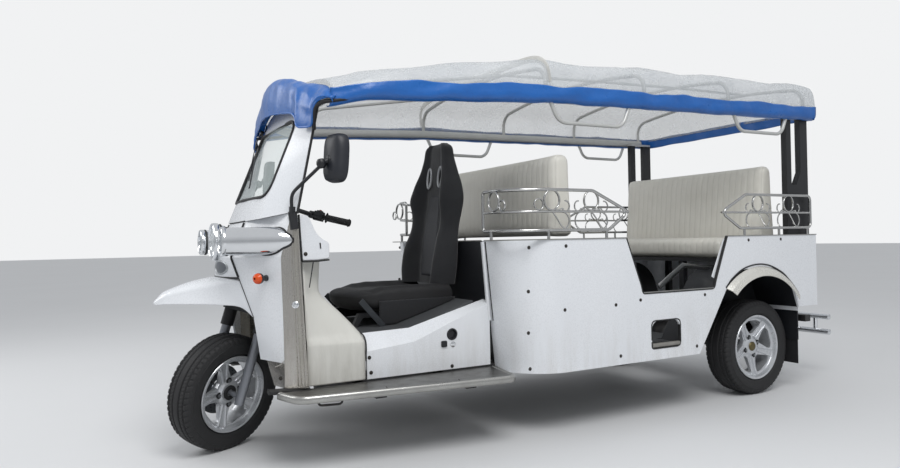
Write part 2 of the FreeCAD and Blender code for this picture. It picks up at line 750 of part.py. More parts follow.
def make_lamps():
    """Round centre headlamp, two bullet lamps along the cowl, and the indicators."""
    core = front_core(0.4)
    height = 961
    # Bullet lamp: x, y, radius
    bullet = [(1795, 262, 60), (1655, 343, 60), (1600, 375, 52), (1562, 398, 34), (1545, 408, 12)]
    rings = [Part.Wire([Part.makeCircle(r, Vector(x, y, height), Vector(1, 0, 0))]) for x, y, r in bullet]
    pod = ruled(rings)
    hollow = Part.makeCylinder(54, 40, Vector(1765, 262, height), Vector(1, 0, 0))
    pods = []
    lenses = []
    for side in (1, -1):
        shell = pod.cut(hollow)
        lens = Part.makeCylinder(53.5, 12, Vector(1776, 262, height), Vector(1, 0, 0))
        if side < 0:
            shell = shell.mirror(Vector(), Vector(0, 1, 0))
            lens = lens.mirror(Vector(), Vector(0, 1, 0))
        shell = shell.cut(core)
        pods.append(max(shell.Solids, key=lambda solid: solid.Volume))
        lenses.append(lens)
    # Centre headlamp section about its axis: x, radius
    rows = [(1700, 0), (1700, 52), (1735, 74), (1757, 80), (1757, 85), (1790, 85), (1793, 81),
            (1790, 75), (1772, 75), (1772, 0)]
    points = [Vector(x, 0, height + r) for x, r in rows]
    face = Part.Face(Part.makePolygon(points + points[:1]))
    bowl = face.revolve(Vector(0, 0, height), Vector(1, 0, 0), 360).cut(core)
    pods.append(max(bowl.Solids, key=lambda solid: solid.Volume))
    node(feature("lamp_shells", Part.makeCompound(pods)), "headlamps")
    lenses.append(Part.makeCylinder(74.5, 12, Vector(1772.3, 0, height), Vector(1, 0, 0)))
    node(feature("lenses", Part.makeCompound(lenses)), "headlamp_lenses")
    lights = []
    for side in (1, -1):
        way = Vector(0.872, 0.489 * side, 0)
        seat = Vector(1641, 332 * side, 800)
        stalk = Part.makeCylinder(13, 80, seat - way * 20, way).cut(core)
        stalk = max(stalk.Solids, key=lambda solid: solid.Volume)
        bulb = Part.makeCylinder(22, 26, seat + way * 38, way)
        lights.append(stalk.fuse(bulb))
    node(feature("indicator_lamps", Part.makeCompound(lights)), "front_indicators")


make_lamps()


# Windscreen frame and glass

def screen_band(drop, wall, rows):
    """Ruled wall of the windscreen: pillar edge, glass edge and middle at two heights."""
    sections = []
    for z, xp, yp, xg, yg, xm in rows:
        outer = [Vector(xp - drop, yp, z), Vector(xg - drop, yg, z), Vector(xm - drop, 0, z)]
        inner = [point + Vector(-wall, 0, 0) for point in outer]
        inner[0] = Vector(outer[0].x, outer[0].y - wall * 1.1, z)
        if z < 1100:
            outer = [point + Vector(0, 0, 0.5) for point in level(outer, True)]
            inner = [point + Vector(0, 0, 0.5) for point in level(inner, True)]
        across = [Vector(point.x, -point.y, point.z) for point in outer]
        back = [Vector(point.x, -point.y, point.z) for point in inner]
        edges = [
            Part.LineSegment(outer[0], outer[1]).toShape(),
            Part.Arc(outer[1], outer[2], across[1]).toShape(),
            Part.LineSegment(across[1], across[0]).toShape(),
            Part.LineSegment(across[0], back[0]).toShape(),
            Part.LineSegment(back[0], back[1]).toShape(),
            Part.Arc(back[1], inner[2], inner[1]).toShape(),
            Part.LineSegment(inner[1], inner[0]).toShape(),
            Part.LineSegment(inner[0], outer[0]).toShape(),
        ]
        sections.append(Part.Wire(edges))
    return ruled(sections)


# Windscreen: height, pillar x and y, glass edge x and y, middle x
SCREEN = [
    (1056, 1524, 452, 1652, 330, 1686),
    (1600, 1412, 450, 1430, 330, 1460),
]


def make_windscreen():
    """Raked, curved windscreen frame with its opening, and the glass."""
    wall = 24
    frame = screen_band(0, wall, SCREEN)
    hole = slab("glass_hole", "YZ", [
        (-325, 1155, 70), (325, 1155, 70), (318, 1500, 70), (-318, 1500, 70),
    ], 1300, 500)
    doc.recompute()
    skin = feature("screen_skin", frame)
    node(cut("screen_frame", skin, hole), "windscreen_frame")
    pane = feature("pane_skin", screen_band(9, 6, SCREEN))
    edge = slab("glass_edge", "YZ", [
        (-324.5, 1155.5, 70), (324.5, 1155.5, 70), (317.5, 1499.5, 70), (-317.5, 1499.5, 70),
    ], 1300, 500)
    glass = doc.addObject("Part::Common", "pane")
    glass.Base = pane
    glass.Tool = edge
    node(glass, "windscreen_glass")


make_windscreen()


# Mirrors and wiper

def make_mirrors():
    """A rear-view mirror each side on a bent arm from the corner plate."""
    parts = []
    for side in (1, -1):
        way = Vector(0.69, 0.724 * side, 0)
        seat = Vector(1538, 437.5 * side, 1099)
        block = Part.makeCylinder(13, 24, seat + way * 0.7, way)
        post = seat + way * 16
        arm = bent_tube([post, (post.x, post.y, 1150), (1462, side * 530, 1235), (1400, side * 548, 1262)], 6, 22)
        head = Part.makeBox(50, 120, 212, Vector(1358, side * 550 - 60, 1200))
        head = head.makeFillet(18, head.Edges)
        parts.append(block.fuse(arm).fuse(head))
    node(feature("mirror_pair", Part.makeCompound(parts)), "mirrors")


make_mirrors()


# Cab: leg shield, dash, sills, running boards

def make_cab():
    """Inner front fairing, dash boxes, sills with a chamfered top, and running boards."""
    skin = size("skin")
    half = size("sill_half")
    front = size("cab_corner_x") - 2.5
    back = size("sill_front_x") + 1.5
    foot = size("sill_foot")
    # Leg shield: height, half width in front, rear x, half width behind
    rows = [(foot, half, back, half), (500, half, back, half), (540, half - 14, back + 6, half - 60),
            (866, half - 60, 1372, 300)]
    sections = []
    for z, wide, x, narrow in rows:
        outer = [Vector(front, wide, z), Vector(x, narrow, z), Vector(x, -narrow, z), Vector(front, -wide, z)]
        inner = [Vector(front, -wide + skin, z), Vector(x + skin, -narrow + skin, z),
                 Vector(x + skin, narrow - skin, z), Vector(front, wide - skin, z)]
        sections.append(Part.makePolygon(outer + inner + outer[:1]))
    node(feature("leg_fairing", ruled(sections)), "leg_shield")
    boxes = []
    for name, side in (("left", 425), ("right", -340)):
        boxes.append(slab("dash_" + name, "XZ", [
            (1484, 866.4), (1499, 1068, 10), (1430, 1040, 20), (1366, 950, 12), (1396, 866.4, 8),
        ], side, 85))
    shelf = slab("dash_shelf", "XZ", [
        (1484, 866.4), (1484, 930), (1400, 945, 12), (1386, 866.4, 8),
    ], 341, 682)
    node(join("dash_body", boxes + [shelf]), "dash_panel")
    # Sill sections: x, outer height, inner height
    rows = [("sill_front_x", 457, 534), ("975", 482, 540), ("body_front_x - body_front_lean + 34", 640, 652)]
    sections = []
    for place, outer, inner in rows:
        x = size(place)
        line = [Vector(x, half, foot), Vector(x, half, outer), Vector(x, half - 61, inner)]
        wall = [Vector(x, half - 61, inner - 10), Vector(x, half - skin, outer - 4), Vector(x, half - skin, foot)]
        sections.append(Part.makePolygon(line + wall + line[:1]))
    plain = feature("sill_skin", ruled(sections))
    inlet = rod("inlet_bore", (776, "sill_half - 40", 500), 80, 22, "Y")
    left = cut("sill_with_inlet", plain, inlet)
    node(group("sill_pair", [left, mirrored("sill_right", plain)]), "sills")
    board = slab("board_plate", "XY", [
        (1625, "sill_half + 12", 8), (1575, "board_front_half", 60), (600, "board_rear_half", 14),
        (548, "sill_half + 1", 4), (1600, "sill_half + 1", 4),
    ], "board_top - board_thickness", "board_thickness")
    node(pair("board_pair", board), "running_boards")


make_cab()


# Driver's seat

def make_driver_seat():
    """Bucket seat: steel base on the deck, cushion and high back."""
    runners = []
    for name, side in (("left", 200), ("right", -170)):
        runners.append(slab("runner_" + name, "XZ", [
            (1158, "deck_height + 1.8"), (1183, "deck_height + 1.8"), (1150, 602), (870, 602), (870, 580), (1130, 580),
        ], side, 30))
    tie = box("runner_tie", (900, -171, 581), (60, 342, 20))
    legs = box("runner_post", (900, -60, "deck_height + 29"), (60, 120, 18))
    node(join("seat_steel", runners + [tie, legs]), "driver_seat_frame")
    cushion = slab("seat_pad", "XZ", [
        (1192, 602.4, 30), (1262, 640, 60), (1284, 712, 25), (1246, 738, 40), (640, 738, 20), (640, 652, 8),
        (662, 645), (800, 602.4),
    ], 245, 490)
    node(cushion, "driver_seat_cushion")
    back = slab("seat_rest", "XZ", [
        (762, 738.4, 20), (712, 960, 150), (722, 1150, 80), (660, 1320, 120), (632, 1478, 30), (545, 1478, 30),
        (556, 1150, 200), (604, 950, 200), (612, 738.4, 15),
    ], 225, 450)
    node(back, "driver_seat_back")


make_driver_seat()


# Passenger body

def body_loop(z):
    """Plan section of one body side's wall: front run, round corner, side run."""
    lean = size("body_front_lean") * (size("body_top") - z) / (size("body_top") - size("body_foot"))
    front = size("body_front_x") - lean
    half = size("body_half")
    corner = size("body_corner")
    wall = size("wall")
    rear = size("body_rear_x")
    start = half - corner - 30
    centre = Vector(front - corner, half - corner, z)
    diagonal = Vector(math.sqrt(0.5), math.sqrt(0.5), 0)
    parts = []
    for drop in (0, wall):
        a = Vector(front - drop, start, z)
        b = Vector(front - drop, half - corner, z)
        c = Vector(front - corner, half - drop, z)
        d = Vector(rear, half - drop, z)
        parts.append(Part.LineSegment(a, b).toShape())
        parts.append(Part.Arc(b, centre + diagonal * (corner - drop), c).toShape())
        parts.append(Part.LineSegment(c, d).toShape())
    parts.append(Part.LineSegment(Vector(front, start, z), Vector(front - wall, start, z)).toShape())
    parts.append(Part.LineSegment(Vector(rear, half, z), Vector(rear, half - wall, z)).toShape())
    return Part.Wire(Part.sortEdges(parts)[0])


# Outline of the wheel arch: x and z, with corner radii
ARCH = [("-612", 290), ("-918", 754, 230), ("-1395", 754, 240), ("-1492", 500), ("-1492", 290)]


def make_body_sides():
    """Curved side walls with the entry, the foothold, the wheel arch and the raised tail."""
    wall = feature("side_wall", ruled([body_loop(size("body_foot")), body_loop(size("body_top"))]))
    tools = []
    tools.append(slab("entry_cut", "XZ", [
        (-108, "body_top + 1"), (-206, 690, 20), (-212, 656, 8), (-747, 656, 8), (-762, 702, 20),
        (-862, "body_top + 1"),
    ], "body_half + 40", 100))
    tools.append(slab("foothold_cut", "XZ", [
        (-268, 366), (-475, 366), (-475, 508, 45), (-268, 508, 45),
    ], "body_half + 40", 100))
    tools.append(slab("arch_cut", "XZ", ARCH, "body_half + 40", 100))
    tools.append(slab("tail_cut", "XZ", [
        (-1480, 290), ("body_rear_x - 10", 290), ("body_rear_x - 10", "body_tail_foot"), (-1480, "body_tail_foot"),
    ], "body_half + 40", 100))
    node(pair("side_pair", cut("side_panel", wall, join("side_cuts", tools))), "body_sides")


make_body_sides()


def make_body_ends():
    """Front bulkhead with its ledge, and rear panel with its shelf."""
    top = "body_top"
    lean = "body_front_x - body_front_lean * (body_top - floor_height + 4) / (body_top - body_foot)"
    front = slab("bulkhead_sheet", "XZ", [
        ("body_front_x", top), (lean, "floor_height - 4"),
        ("%s - wall" % lean, "floor_height - 4"), ("body_front_x - wall", top),
    ], "body_half - body_corner - 31", "2 * (body_half - body_corner - 31)")
    ledge = slab("ledge_sheet", "XY", [
        (112, "-(body_half - wall - 0.4)"),
        ("body_front_x - wall - 1.6", "-(body_half - wall - 0.4)", "body_corner - wall"),
        ("body_front_x - wall - 1.6", "body_half - wall - 0.4", "body_corner - wall"),
        (112, "body_half - wall - 0.4"),
    ], "body_top - wall", "wall")
    node(join("bulkhead", [front, ledge]), "front_bulkhead")
    panel = box("tail_sheet", ("body_rear_x", "-(body_half - wall - 0.4)", "body_tail_foot"),
                ("wall", "2 * (body_half - wall - 0.4)", "body_top - body_tail_foot"))
    shelf = box("tail_shelf", ("body_rear_x", "-(body_half - wall - 0.4)", "body_top - wall"),
                (190, "2 * (body_half - wall - 0.4)", "wall"))
    holes = []
    for name, y in (("left", 75), ("right", -75)):
        holes.append(rod("plate_hole_" + name, ("body_rear_x - 20", y, 640), 60, 3.2, "X"))
    node(cut("tail_drilled", join("tail", [panel, shelf]), join("plate_holes", holes)), "rear_panel")


make_body_ends()


def make_arches():
    """Polished flares over the rear wheels, and the black liners inside."""
    a = Vector(-850, 0, 646)
    b = Vector(-1111, 0, 758)
    c = Vector(-1475, 0, 585)
    circle = Part.Arc(a, b, c).toShape().Curve
    centre = circle.Center
    radius = circle.Radius
    half = size("body_half") + 0.3
    # Flare section: distance inside the arch line, distance from the body
    rows = [(-6, 0), (-6, 3), (14, 30), (46, 44), (49, 41), (19, 26), (2, 0)]
    start = (a - centre).normalize()
    points = [centre + start * (radius - inside) + Vector(0, half + out, 0) for inside, out in rows]
    face = Part.Face(Part.makePolygon(points + points[:1]))
    angle = math.degrees((a - centre).getAngle(b - centre) + (b - centre).getAngle(c - centre))
    turn = (a - centre).cross(b - centre).normalize()
    left = face.revolve(centre, turn, angle)
    right = left.mirror(Vector(), Vector(0, 1, 0))
    node(feature("flares", Part.makeCompound([left, right])), "arch_flares")
    outer = [("-604", 306), ("-914", 766, 240), ("-1399", 766, 250), ("-1500", 506), ("-1500", 306)]
    inner = [("-612", 300), ("-918", 760, 232), ("-1395", 760, 242), ("-1494", 500), ("-1494", 300)]
    deep = "body_half - wall - 419"
    shell = slab("liner_outer", "XZ", outer, "body_half - wall - 0.5", deep)
    hollow = slab("liner_inner", "XZ", inner, "body_half - wall + 5", "body_half - wall - 419")
    notch = box("axle_notch", ("rear_axle_x - 60", 400, 300), (120, 60, 90))
    node(pair("liner_pair", cut("liner", shell, join("liner_cuts", [hollow, notch]))), "wheel_arch_liners")


make_arches()


# Benches

def make_benches():
    """Two facing benches: cushions, backs and the steel trays that carry them."""
    half = "bench_half"
    low = "bench_top - bench_cushion"
    # Cushions: name, rear x, length
    pads = []
    for name, x, length in (("front", -288, 399.5), ("rear", -1298, 348)):
        pads.append(box(name + "_pad", (x, "-bench_half", low), (length, "2 * bench_half", "bench_cushion")))
    node(group("bench_pads", pads), "bench_cushions")
    front = slab("front_rest", "XZ", [
        (119, "body_top + 0.5"), (142, "back_top", 40), (246, "back_top", 40), (258, "body_top + 0.5"),
    ], half, "2 * bench_half")
    rear = slab("rear_rest", "XZ", [
        (-1298.5, "bench_top - bench_cushion + 0.3"), (-1352, "back_top", 40), (-1440, "back_top", 40),
        (-1482, "body_top + 2"), (-1482, "bench_top - bench_cushion + 0.3"),
    ], half, "2 * bench_half")
    node(group("bench_rests", [front, rear]), "bench_backs")
    frames = []
    # Trays: name, front x, rear x, foot of the legs
    for name, front, rear, foot in (("front", 112, -286, "floor_height + 8.3"), ("rear", -955, -1480, 460.3)):
        tray = box(name + "_tray", (rear, "-(bench_half - 10)", "bench_top - bench_cushion - 22"),
                   (front - rear, "2 * (bench_half - 10)", 21.6))
        legs = []
        for index, (x, y) in enumerate(((front - 45, 262), (front - 45, -298), (rear + 10, 262), (rear + 10, -298))):
            legs.append(box("%s_leg_%d" % (name, index), (x, y, foot),
                            (35, 35, "bench_top - bench_cushion - 12 - (%s)" % foot)))
        frames.append(join(name + "_bench_steel", [tray] + legs))
    node(group("bench_steel", frames), "bench_frames")


make_benches()


# Roof

def roof_tube_at(x):
    """Half width and height of the side tube's middle at one place along the vehicle."""
    half = size("roof_half")
    high = size("roof_tube_height")
    if x > 346:
        share = (x - 346) / 904
        return half - 55 * share, high - 52 * share
    share = (346 - x) / 2006
    return half + 45 * share, high + 44 * share


# Bows: x, height of the crown above the side tube there
BOWS = ((346, 190), (-290, 204), (-929, 211), (-1589, 208))


def bow_arc(x, rise):
    """Radii and middles of a bow: a tight bend over each leg, and one shallow arch between them."""
    half, foot = roof_tube_at(x)
    crown = foot + rise
    shoulder = crown - 133
    tight = 90
    deep = crown - shoulder
    wide = ((half - tight) ** 2 + deep ** 2 - tight ** 2) / (2 * (deep - tight))
    return half, foot, crown, shoulder, tight, wide


def bow_height(x, rise, y):
    """Height of the shallow arch's middle line at a distance from the vehicle's middle."""
    wide = bow_arc(x, rise)[5]
    return bow_arc(x, rise)[2] - wide + math.sqrt(wide * wide - y * y)


def bow_tube(x, rise, radius):
    """Bow swept from one side tube to the other."""
    half, foot, crown, shoulder, tight, wide = bow_arc(x, rise)
    lean = math.atan2(half - tight, shoulder - (crown - wide))
    turn = math.pi / 2 - lean
    meet = (half - tight + tight * math.sin(lean), shoulder + tight * math.cos(lean))
    knee = (half - tight + tight * math.cos(turn / 2), shoulder + tight * math.sin(turn / 2))
    right = [Part.LineSegment(Vector(x, half, foot), Vector(x, half, shoulder)).toShape(),
             Part.Arc(Vector(x, half, shoulder), Vector(x, *knee), Vector(x, *meet)).toShape()]
    over = Part.Arc(Vector(x, *meet), Vector(x, 0, crown), Vector(x, -meet[0], meet[1])).toShape()
    left = [Part.Arc(Vector(x, -meet[0], meet[1]), Vector(x, -knee[0], knee[1]),
                     Vector(x, -half, shoulder)).toShape(),
            Part.LineSegment(Vector(x, -half, shoulder), Vector(x, -half, foot)).toShape()]
    ring = Part.Wire([Part.makeCircle(radius, Vector(x, half, foot), Vector(0, 0, 1))])
    return Part.Wire(right + [over] + left).makePipeShell([ring], True, False)


def make_roof():
    """Side tubes, arched bows, long rails under the crown, cross tube, grab handles, and the rear posts."""
    tube = size("roof_tube_radius")
    rear = -1600
    middle = roof_tube_at(346)
    front = roof_tube_at(1250)
    end = roof_tube_at(rear)
    header = front[1] + 2
    parts = []
    for side in (1, -1):
        parts.append(bent_tube([(rear, side * end[0], end[1]), (346, side * middle[0], middle[1]),
                                (1250, side * front[0], front[1]), (1367.5, side * 455, header)], tube))
        # Grab handles: front x, rear x, height of the grip
        for ahead, behind, grip in ((331, -194, 1517), (-959, -1440, 1550)):
            way = [(ahead, side * roof_tube_at(ahead)[0], roof_tube_at(ahead)[1]),
                   (ahead - 60, side * roof_tube_at(ahead)[0], grip),
                   (behind + 60, side * roof_tube_at(behind)[0], grip),
                   (behind, side * roof_tube_at(behind)[0], roof_tube_at(behind)[1])]
            parts.append(bent_tube(way, 10, 75))
        # Rails under the crown, from the header over every bow
        over = [(x, side * 300, bow_height(x, rise, 300)) for x, rise in BOWS]
        line = over[::-1] + [(785, side * 300, middle[1] + 104), (1150, side * 300, middle[1] + 42),
                             (1367.5, side * 300, header)]
        parts.append(bent_tube(line, 8, 150))
        # Head plate over the rear posts
        parts.append(Part.makeBox(205, end[0] - 640, 14, Vector(-1660, 640 if side > 0 else -end[0], end[1] - 24)))
    for x, rise in BOWS:
        parts.append(bow_tube(x, rise, size("bow_radius")))
    parts.append(bent_tube([(1367.5, 455, header), (1367.5, -455, header)], 20))
    node(feature("roof_tubes", welded(parts)), "roof_frame")
    posts = []
    for side in (1, -1):
        low = size("body_top") + 0.3
        high = end[1] - 24.3
        # Outline from the side: slim front post, broad rear post, and the web that joins them low down
        line = [(-1660, low), (-1455, low), (-1455, high), (-1500, high), (-1500, 1250), (-1545, 1250),
                (-1590, 1330), (-1590, high), (-1660, high)]
        face = Part.Face(Part.makePolygon([Vector(x, side * 640, z) for x, z in line + line[:1]]))
        posts.append(face.extrude(Vector(0, side * 36, 0)))
    node(feature("post_pair", Part.makeCompound(posts)), "rear_posts")


make_roof()


def rail_tubes(rear):
    """One guard rail on the left side: outer loop, middle bar and posts to the body."""
    r = size("rail_radius")
    y = size("body_half") - 8
    low = size("rail_bottom")
    mid = size("rail_middle")
    top = size("rail_top")
    deck = size("body_top") + 0.3
    parts = []
    if rear:
        end = size("body_rear_x") + 40
        seam = [(-1300, y, low), (end, y, mid)]
        points = [seam[0], (-985, y, low), (-827, y, mid), (-1040, y, top), (end, y, top), seam[1]]
        close = [seam[1], (end, y, low), seam[0]]
        bends = [45, 25, 45, 30]
        ends = [30]
        middle = [(-827, y, mid), (end, y, mid)]
        posts = (-1020, -1330, -1600)
    else:
        corner = size("body_front_x") - 8
        inner = size("body_half") - size("body_corner") - 30
        big = size("body_corner") - 8
        seam = [(140, y, low), (corner, inner, mid)]
        points = [seam[0], (4, y, low), (-129, y, mid), (105, y, top), (corner, y, top), (corner, inner, top), seam[1]]
        close = [seam[1], (corner, inner, low), (corner, y, low), seam[0]]
        bends = [45, 25, 45, big, 18]
        ends = [18, big]
        middle = [(-129, y, mid), (corner, y, mid), (corner, inner, mid)]
        posts = (381, 20)
    parts.append(swept([Vector(*point) for point in points], bends, r))
    parts.append(swept([Vector(*point) for point in close], ends, r))
    path = [Vector(*point) for point in middle]
    parts.append(swept(path, [size("body_corner") - 8], r * 0.75))
    for x in posts:
        parts.append(Part.makeCylinder(r * 0.9, low - deck, Vector(x, y, deck)))
    if not rear:
        parts.append(Part.makeCylinder(r * 0.9, low - deck, Vector(corner, inner + 70, deck)))
    return welded(parts)


def swept(points, bends, radius):
    """Round tube along straight runs, with one bend radius for each inner corner."""
    edges = []
    here = points[0]
    for index, bend in zip(range(1, len(points) - 1), bends):
        spot = points[index]
        before = (points[index - 1] - spot).normalize()
        after = (points[index + 1] - spot).normalize()
        half = before.getAngle(after) / 2
        reach = bend / math.tan(half)
        first = spot + before * reach
        second = spot + after * reach
        centre = spot + (before + after).normalize() * (bend / math.sin(half))
        middle = centre + (spot - centre).normalize() * bend
        edges.append(Part.LineSegment(here, first).toShape())
        edges.append(Part.Arc(first, middle, second).toShape())
        here = second
    edges.append(Part.LineSegment(here, points[-1]).toShape())
    ring = Part.Wire([Part.makeCircle(radius, points[0], points[1] - points[0])])
    return Part.Wire(edges).makePipeShell([ring], True, False)


def make_rails():
    """Guard rails on both body sides."""
    front = rail_tubes(False)
    rear = rail_tubes(True)
    node(pair("rail_pair", feature("rail_tubing", Part.makeCompound([front, rear]))), "guard_rails")


make_rails()


# Canopy sections: x, lower edge, shoulder height, crown height, half width
CANOPY = [
    # x, top and outer height of the bend, inner height of the bend, crown, over the side tube
    (1290, 54, 82, 129),
    (815, 67, 131, 189),
    (346, 96, 184, 217),
    (-290, 106, 194, 232),
    (-929, 110, 198, 239),
    (-1589, 108, 196, 236),
    (-1660, 94, 170, 212),
]
# Hood over the windscreen: x, lower edge, top of the border, bend outside, bend inside, crown, half width
HOOD = [
    (1545, 1560, 1590, 1604, 1625, 1650, 300),
    (1500, 1480, 1585, 1606, 1645, 1695, 440),
    (1440, 1470, 1578, 1601, 1642, 1708, 520),
    (1375, 1562, 1578, 1602, 1640, 1712, 585),
]


def canopy_line(half, low, top, bend_out, bend_in, crown, wall):
    """Half of a cross section, moved in by a wall: side, bend over the leg, and the crown's height."""
    return [(half - wall, low), (half - wall, top), (half - 6 - wall, bend_out - wall * 0.4),
            (half - 92 - wall * 0.7, bend_in - wall * 0.7), (0, crown - wall)]


def canopy_ring(x, half, low, top, bend_out, bend_in, crown, wall):
    """Closed section of the whole skin at one place: outside line over, inside line back."""
    edges = []
    for inset in (0, wall):
        line = canopy_line(half, low, top, bend_out, bend_in, crown, inset)
        left = [Vector(x, y, z) for y, z in line]
        right = [Vector(x, -y, z) for y, z in line]
        run = [Part.LineSegment(left[i], left[i + 1]).toShape() for i in range(3)]
        run.append(Part.Arc(left[3], left[4], right[3]).toShape())
        run += [Part.LineSegment(right[i + 1], right[i]).toShape() for i in (2, 1, 0)]
        edges.append(run)
    side = Part.LineSegment(edges[0][-1].lastVertex().Point, edges[1][-1].lastVertex().Point).toShape()
    start = Part.LineSegment(edges[0][0].firstVertex().Point, edges[1][0].firstVertex().Point).toShape()
    return Part.Wire(edges[0] + [side] + edges[1][::-1] + [start])


def canopy_row(x):
    """Half width, and heights of the border's lower and upper edges, round the side tube."""
    half, high = roof_tube_at(x)
    return half + size("roof_tube_radius") + 4.5, high - 30, high + 30


def make_canopy():
    """Blue border down both sides with the hood over the windscreen, and the clear top sheet."""
    wall = 4
    border = []
    for side in (1, -1):
        sections = []
        for row in CANOPY:
            half, low, top = canopy_row(row[0])
            loop = [Vector(row[0], side * y, z) for y, z in ((half, low), (half, top), (half - wall, top),
                                                             (half - wall, low))]
            sections.append(Part.makePolygon(loop + loop[:1]))
        border.append(ruled(sections))
    first = CANOPY[0]
    half, low, top = canopy_row(first[0])
    high = roof_tube_at(first[0])[1]
    hood = [canopy_ring(row[0], row[6], *row[1:6], wall) for row in HOOD]
    hood.append(canopy_ring(first[0], half, low, top, high + first[1], high + first[2], high + first[3], wall))
    border.append(ruled(hood))
    node(feature("blue_border", welded(border)), "canopy_border")
    sections = []
    for x, bend_out, bend_in, crown in CANOPY:
        half, low, top = canopy_row(x)
        high = roof_tube_at(x)[1]
        sections.append(canopy_ring(x - 0.3, half, top + 0.4, top + 8, high + bend_out, high + bend_in,
                                    high + crown, wall))
    # End panel behind the last bow
    x, bend_out, bend_in, crown = CANOPY[-1]
    half, low, top = canopy_row(x)
    high = roof_tube_at(x)[1]
    loops = []
    for grow in (0.3, wall + 0.3):
        line = [Vector(x - grow, y, z) for y, z in canopy_line(half, low, top, high + bend_out, high + bend_in,
                                                              high + crown, 0)]
        back = [Vector(point.x, -point.y, point.z) for point in line]
        edges = [Part.LineSegment(line[i], line[i + 1]).toShape() for i in range(3)]
        edges.append(Part.Arc(line[3], line[4], back[3]).toShape())
        edges += [Part.LineSegment(back[i + 1], back[i]).toShape() for i in (2, 1, 0)]
        edges.append(Part.LineSegment(back[0], line[0]).toShape())
        loops.append(Part.Wire(edges))
    node(feature("clear_sheet", welded([ruled(sections), ruled(loops)])), "canopy_sheet")


make_canopy()


# Rear: bumper, lamps, plate, mud flaps

def make_rear():
    """Double tube bumper on two brackets, tail lamps, blank number plate and mud flaps."""
    r = size("bumper_radius")
    x = size("bumper_x")
    parts = []
    for z in (296, 396):
        parts.append(bent_tube([(x, 560, z), (x, -560, z)], r))
    for y in (470, -470):
        parts.append(Part.makeCylinder(14, 100, Vector(x, y, 296)))
    for y in (280, -280):
        parts.append(Part.makeBox(-1560 - x, 40, 15.7, Vector(x, y - 20, 384)))
    node(feature("bumper_tubes", welded(parts)), "rear_bumper")
    lamps = []
    for y in (560, -560):
        back = size("body_rear_x") - 0.3
        lamps.append(Part.makeBox(34, 90, 190, Vector(back - 34, y - 45, 620)))
    node(feature("tail_lamp_pair", Part.makeCompound(lamps)), "tail_lamps")
    flaps = []
    for y in (582, -582):
        flaps.append(Part.makeBox(5, 215, 345, Vector(-1505.3, y - 107.5, 160)))
    node(feature("flap_pair", Part.makeCompound(flaps)), "mud_flaps")


make_rear()


def check_and_write():
    """Stop on a failed object, then write one STEP file for each sub-part."""
    doc.recompute()
    for item in doc.Objects:
        if "Invalid" in item.State or "Error" in item.State:
            raise RuntimeError("failed object: " + item.Name)
    os.makedirs("parts", exist_ok=True)
    bad = [item.Label for item in NODES if item.Shape.isNull() or not item.Shape.isValid()]
    if bad:
        raise RuntimeError("bad shapes: " + ", ".join(bad))
    for item in NODES:
        item.Shape.exportStep(os.path.join("parts", item.Label + ".step"))
        print("%-26s solids %d" % (item.Label, len(item.Shape.Solids)))


check_and_write()
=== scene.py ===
"""Looks of a six-seat open auto rickshaw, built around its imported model.

Metres, in the model's own frame: X forward, Y to the vehicle's left, Z up from the ground.
"""
import bmesh
import bpy
import math
import numpy as np
from mathutils import Matrix, Vector


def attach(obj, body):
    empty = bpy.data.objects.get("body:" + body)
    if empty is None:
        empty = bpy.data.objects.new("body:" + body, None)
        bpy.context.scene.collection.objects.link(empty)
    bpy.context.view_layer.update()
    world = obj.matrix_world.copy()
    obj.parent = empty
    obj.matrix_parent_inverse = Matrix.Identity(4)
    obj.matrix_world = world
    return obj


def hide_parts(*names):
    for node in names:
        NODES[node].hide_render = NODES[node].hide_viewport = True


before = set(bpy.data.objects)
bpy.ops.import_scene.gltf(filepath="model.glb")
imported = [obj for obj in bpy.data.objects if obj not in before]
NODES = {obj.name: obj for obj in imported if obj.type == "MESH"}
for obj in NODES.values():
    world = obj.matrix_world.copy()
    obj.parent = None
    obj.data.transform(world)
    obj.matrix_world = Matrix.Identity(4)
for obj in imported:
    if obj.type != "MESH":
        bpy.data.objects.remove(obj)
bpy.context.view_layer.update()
TAU = 2 * math.pi
X, Y, Z = (1, 0, 0), (0, 1, 0), (0, 0, 1)


# Materials

def paint(code):
    """Linear colour of an sRGB hex value."""
    parts = [int(code[i:i + 2], 16) / 255 for i in (1, 3, 5)]
    return tuple(p / 12.92 if p <= 0.04045 else ((p + 0.055) / 1.055) ** 2.4 for p in parts) + (1.0,)


def add(tree, kind, settings=None, links=None):
    """Add one shader node with its settings and its links."""
    item = tree.nodes.new("ShaderNode" + kind)
    for key, value in (settings or {}).items():
        if isinstance(key, int) or key in item.inputs:
            item.inputs[key].default_value = value
        else:
            setattr(item, key, value)
    for key, source in (links or {}).items():
        tree.links.new(source, item.inputs[key])
    return item


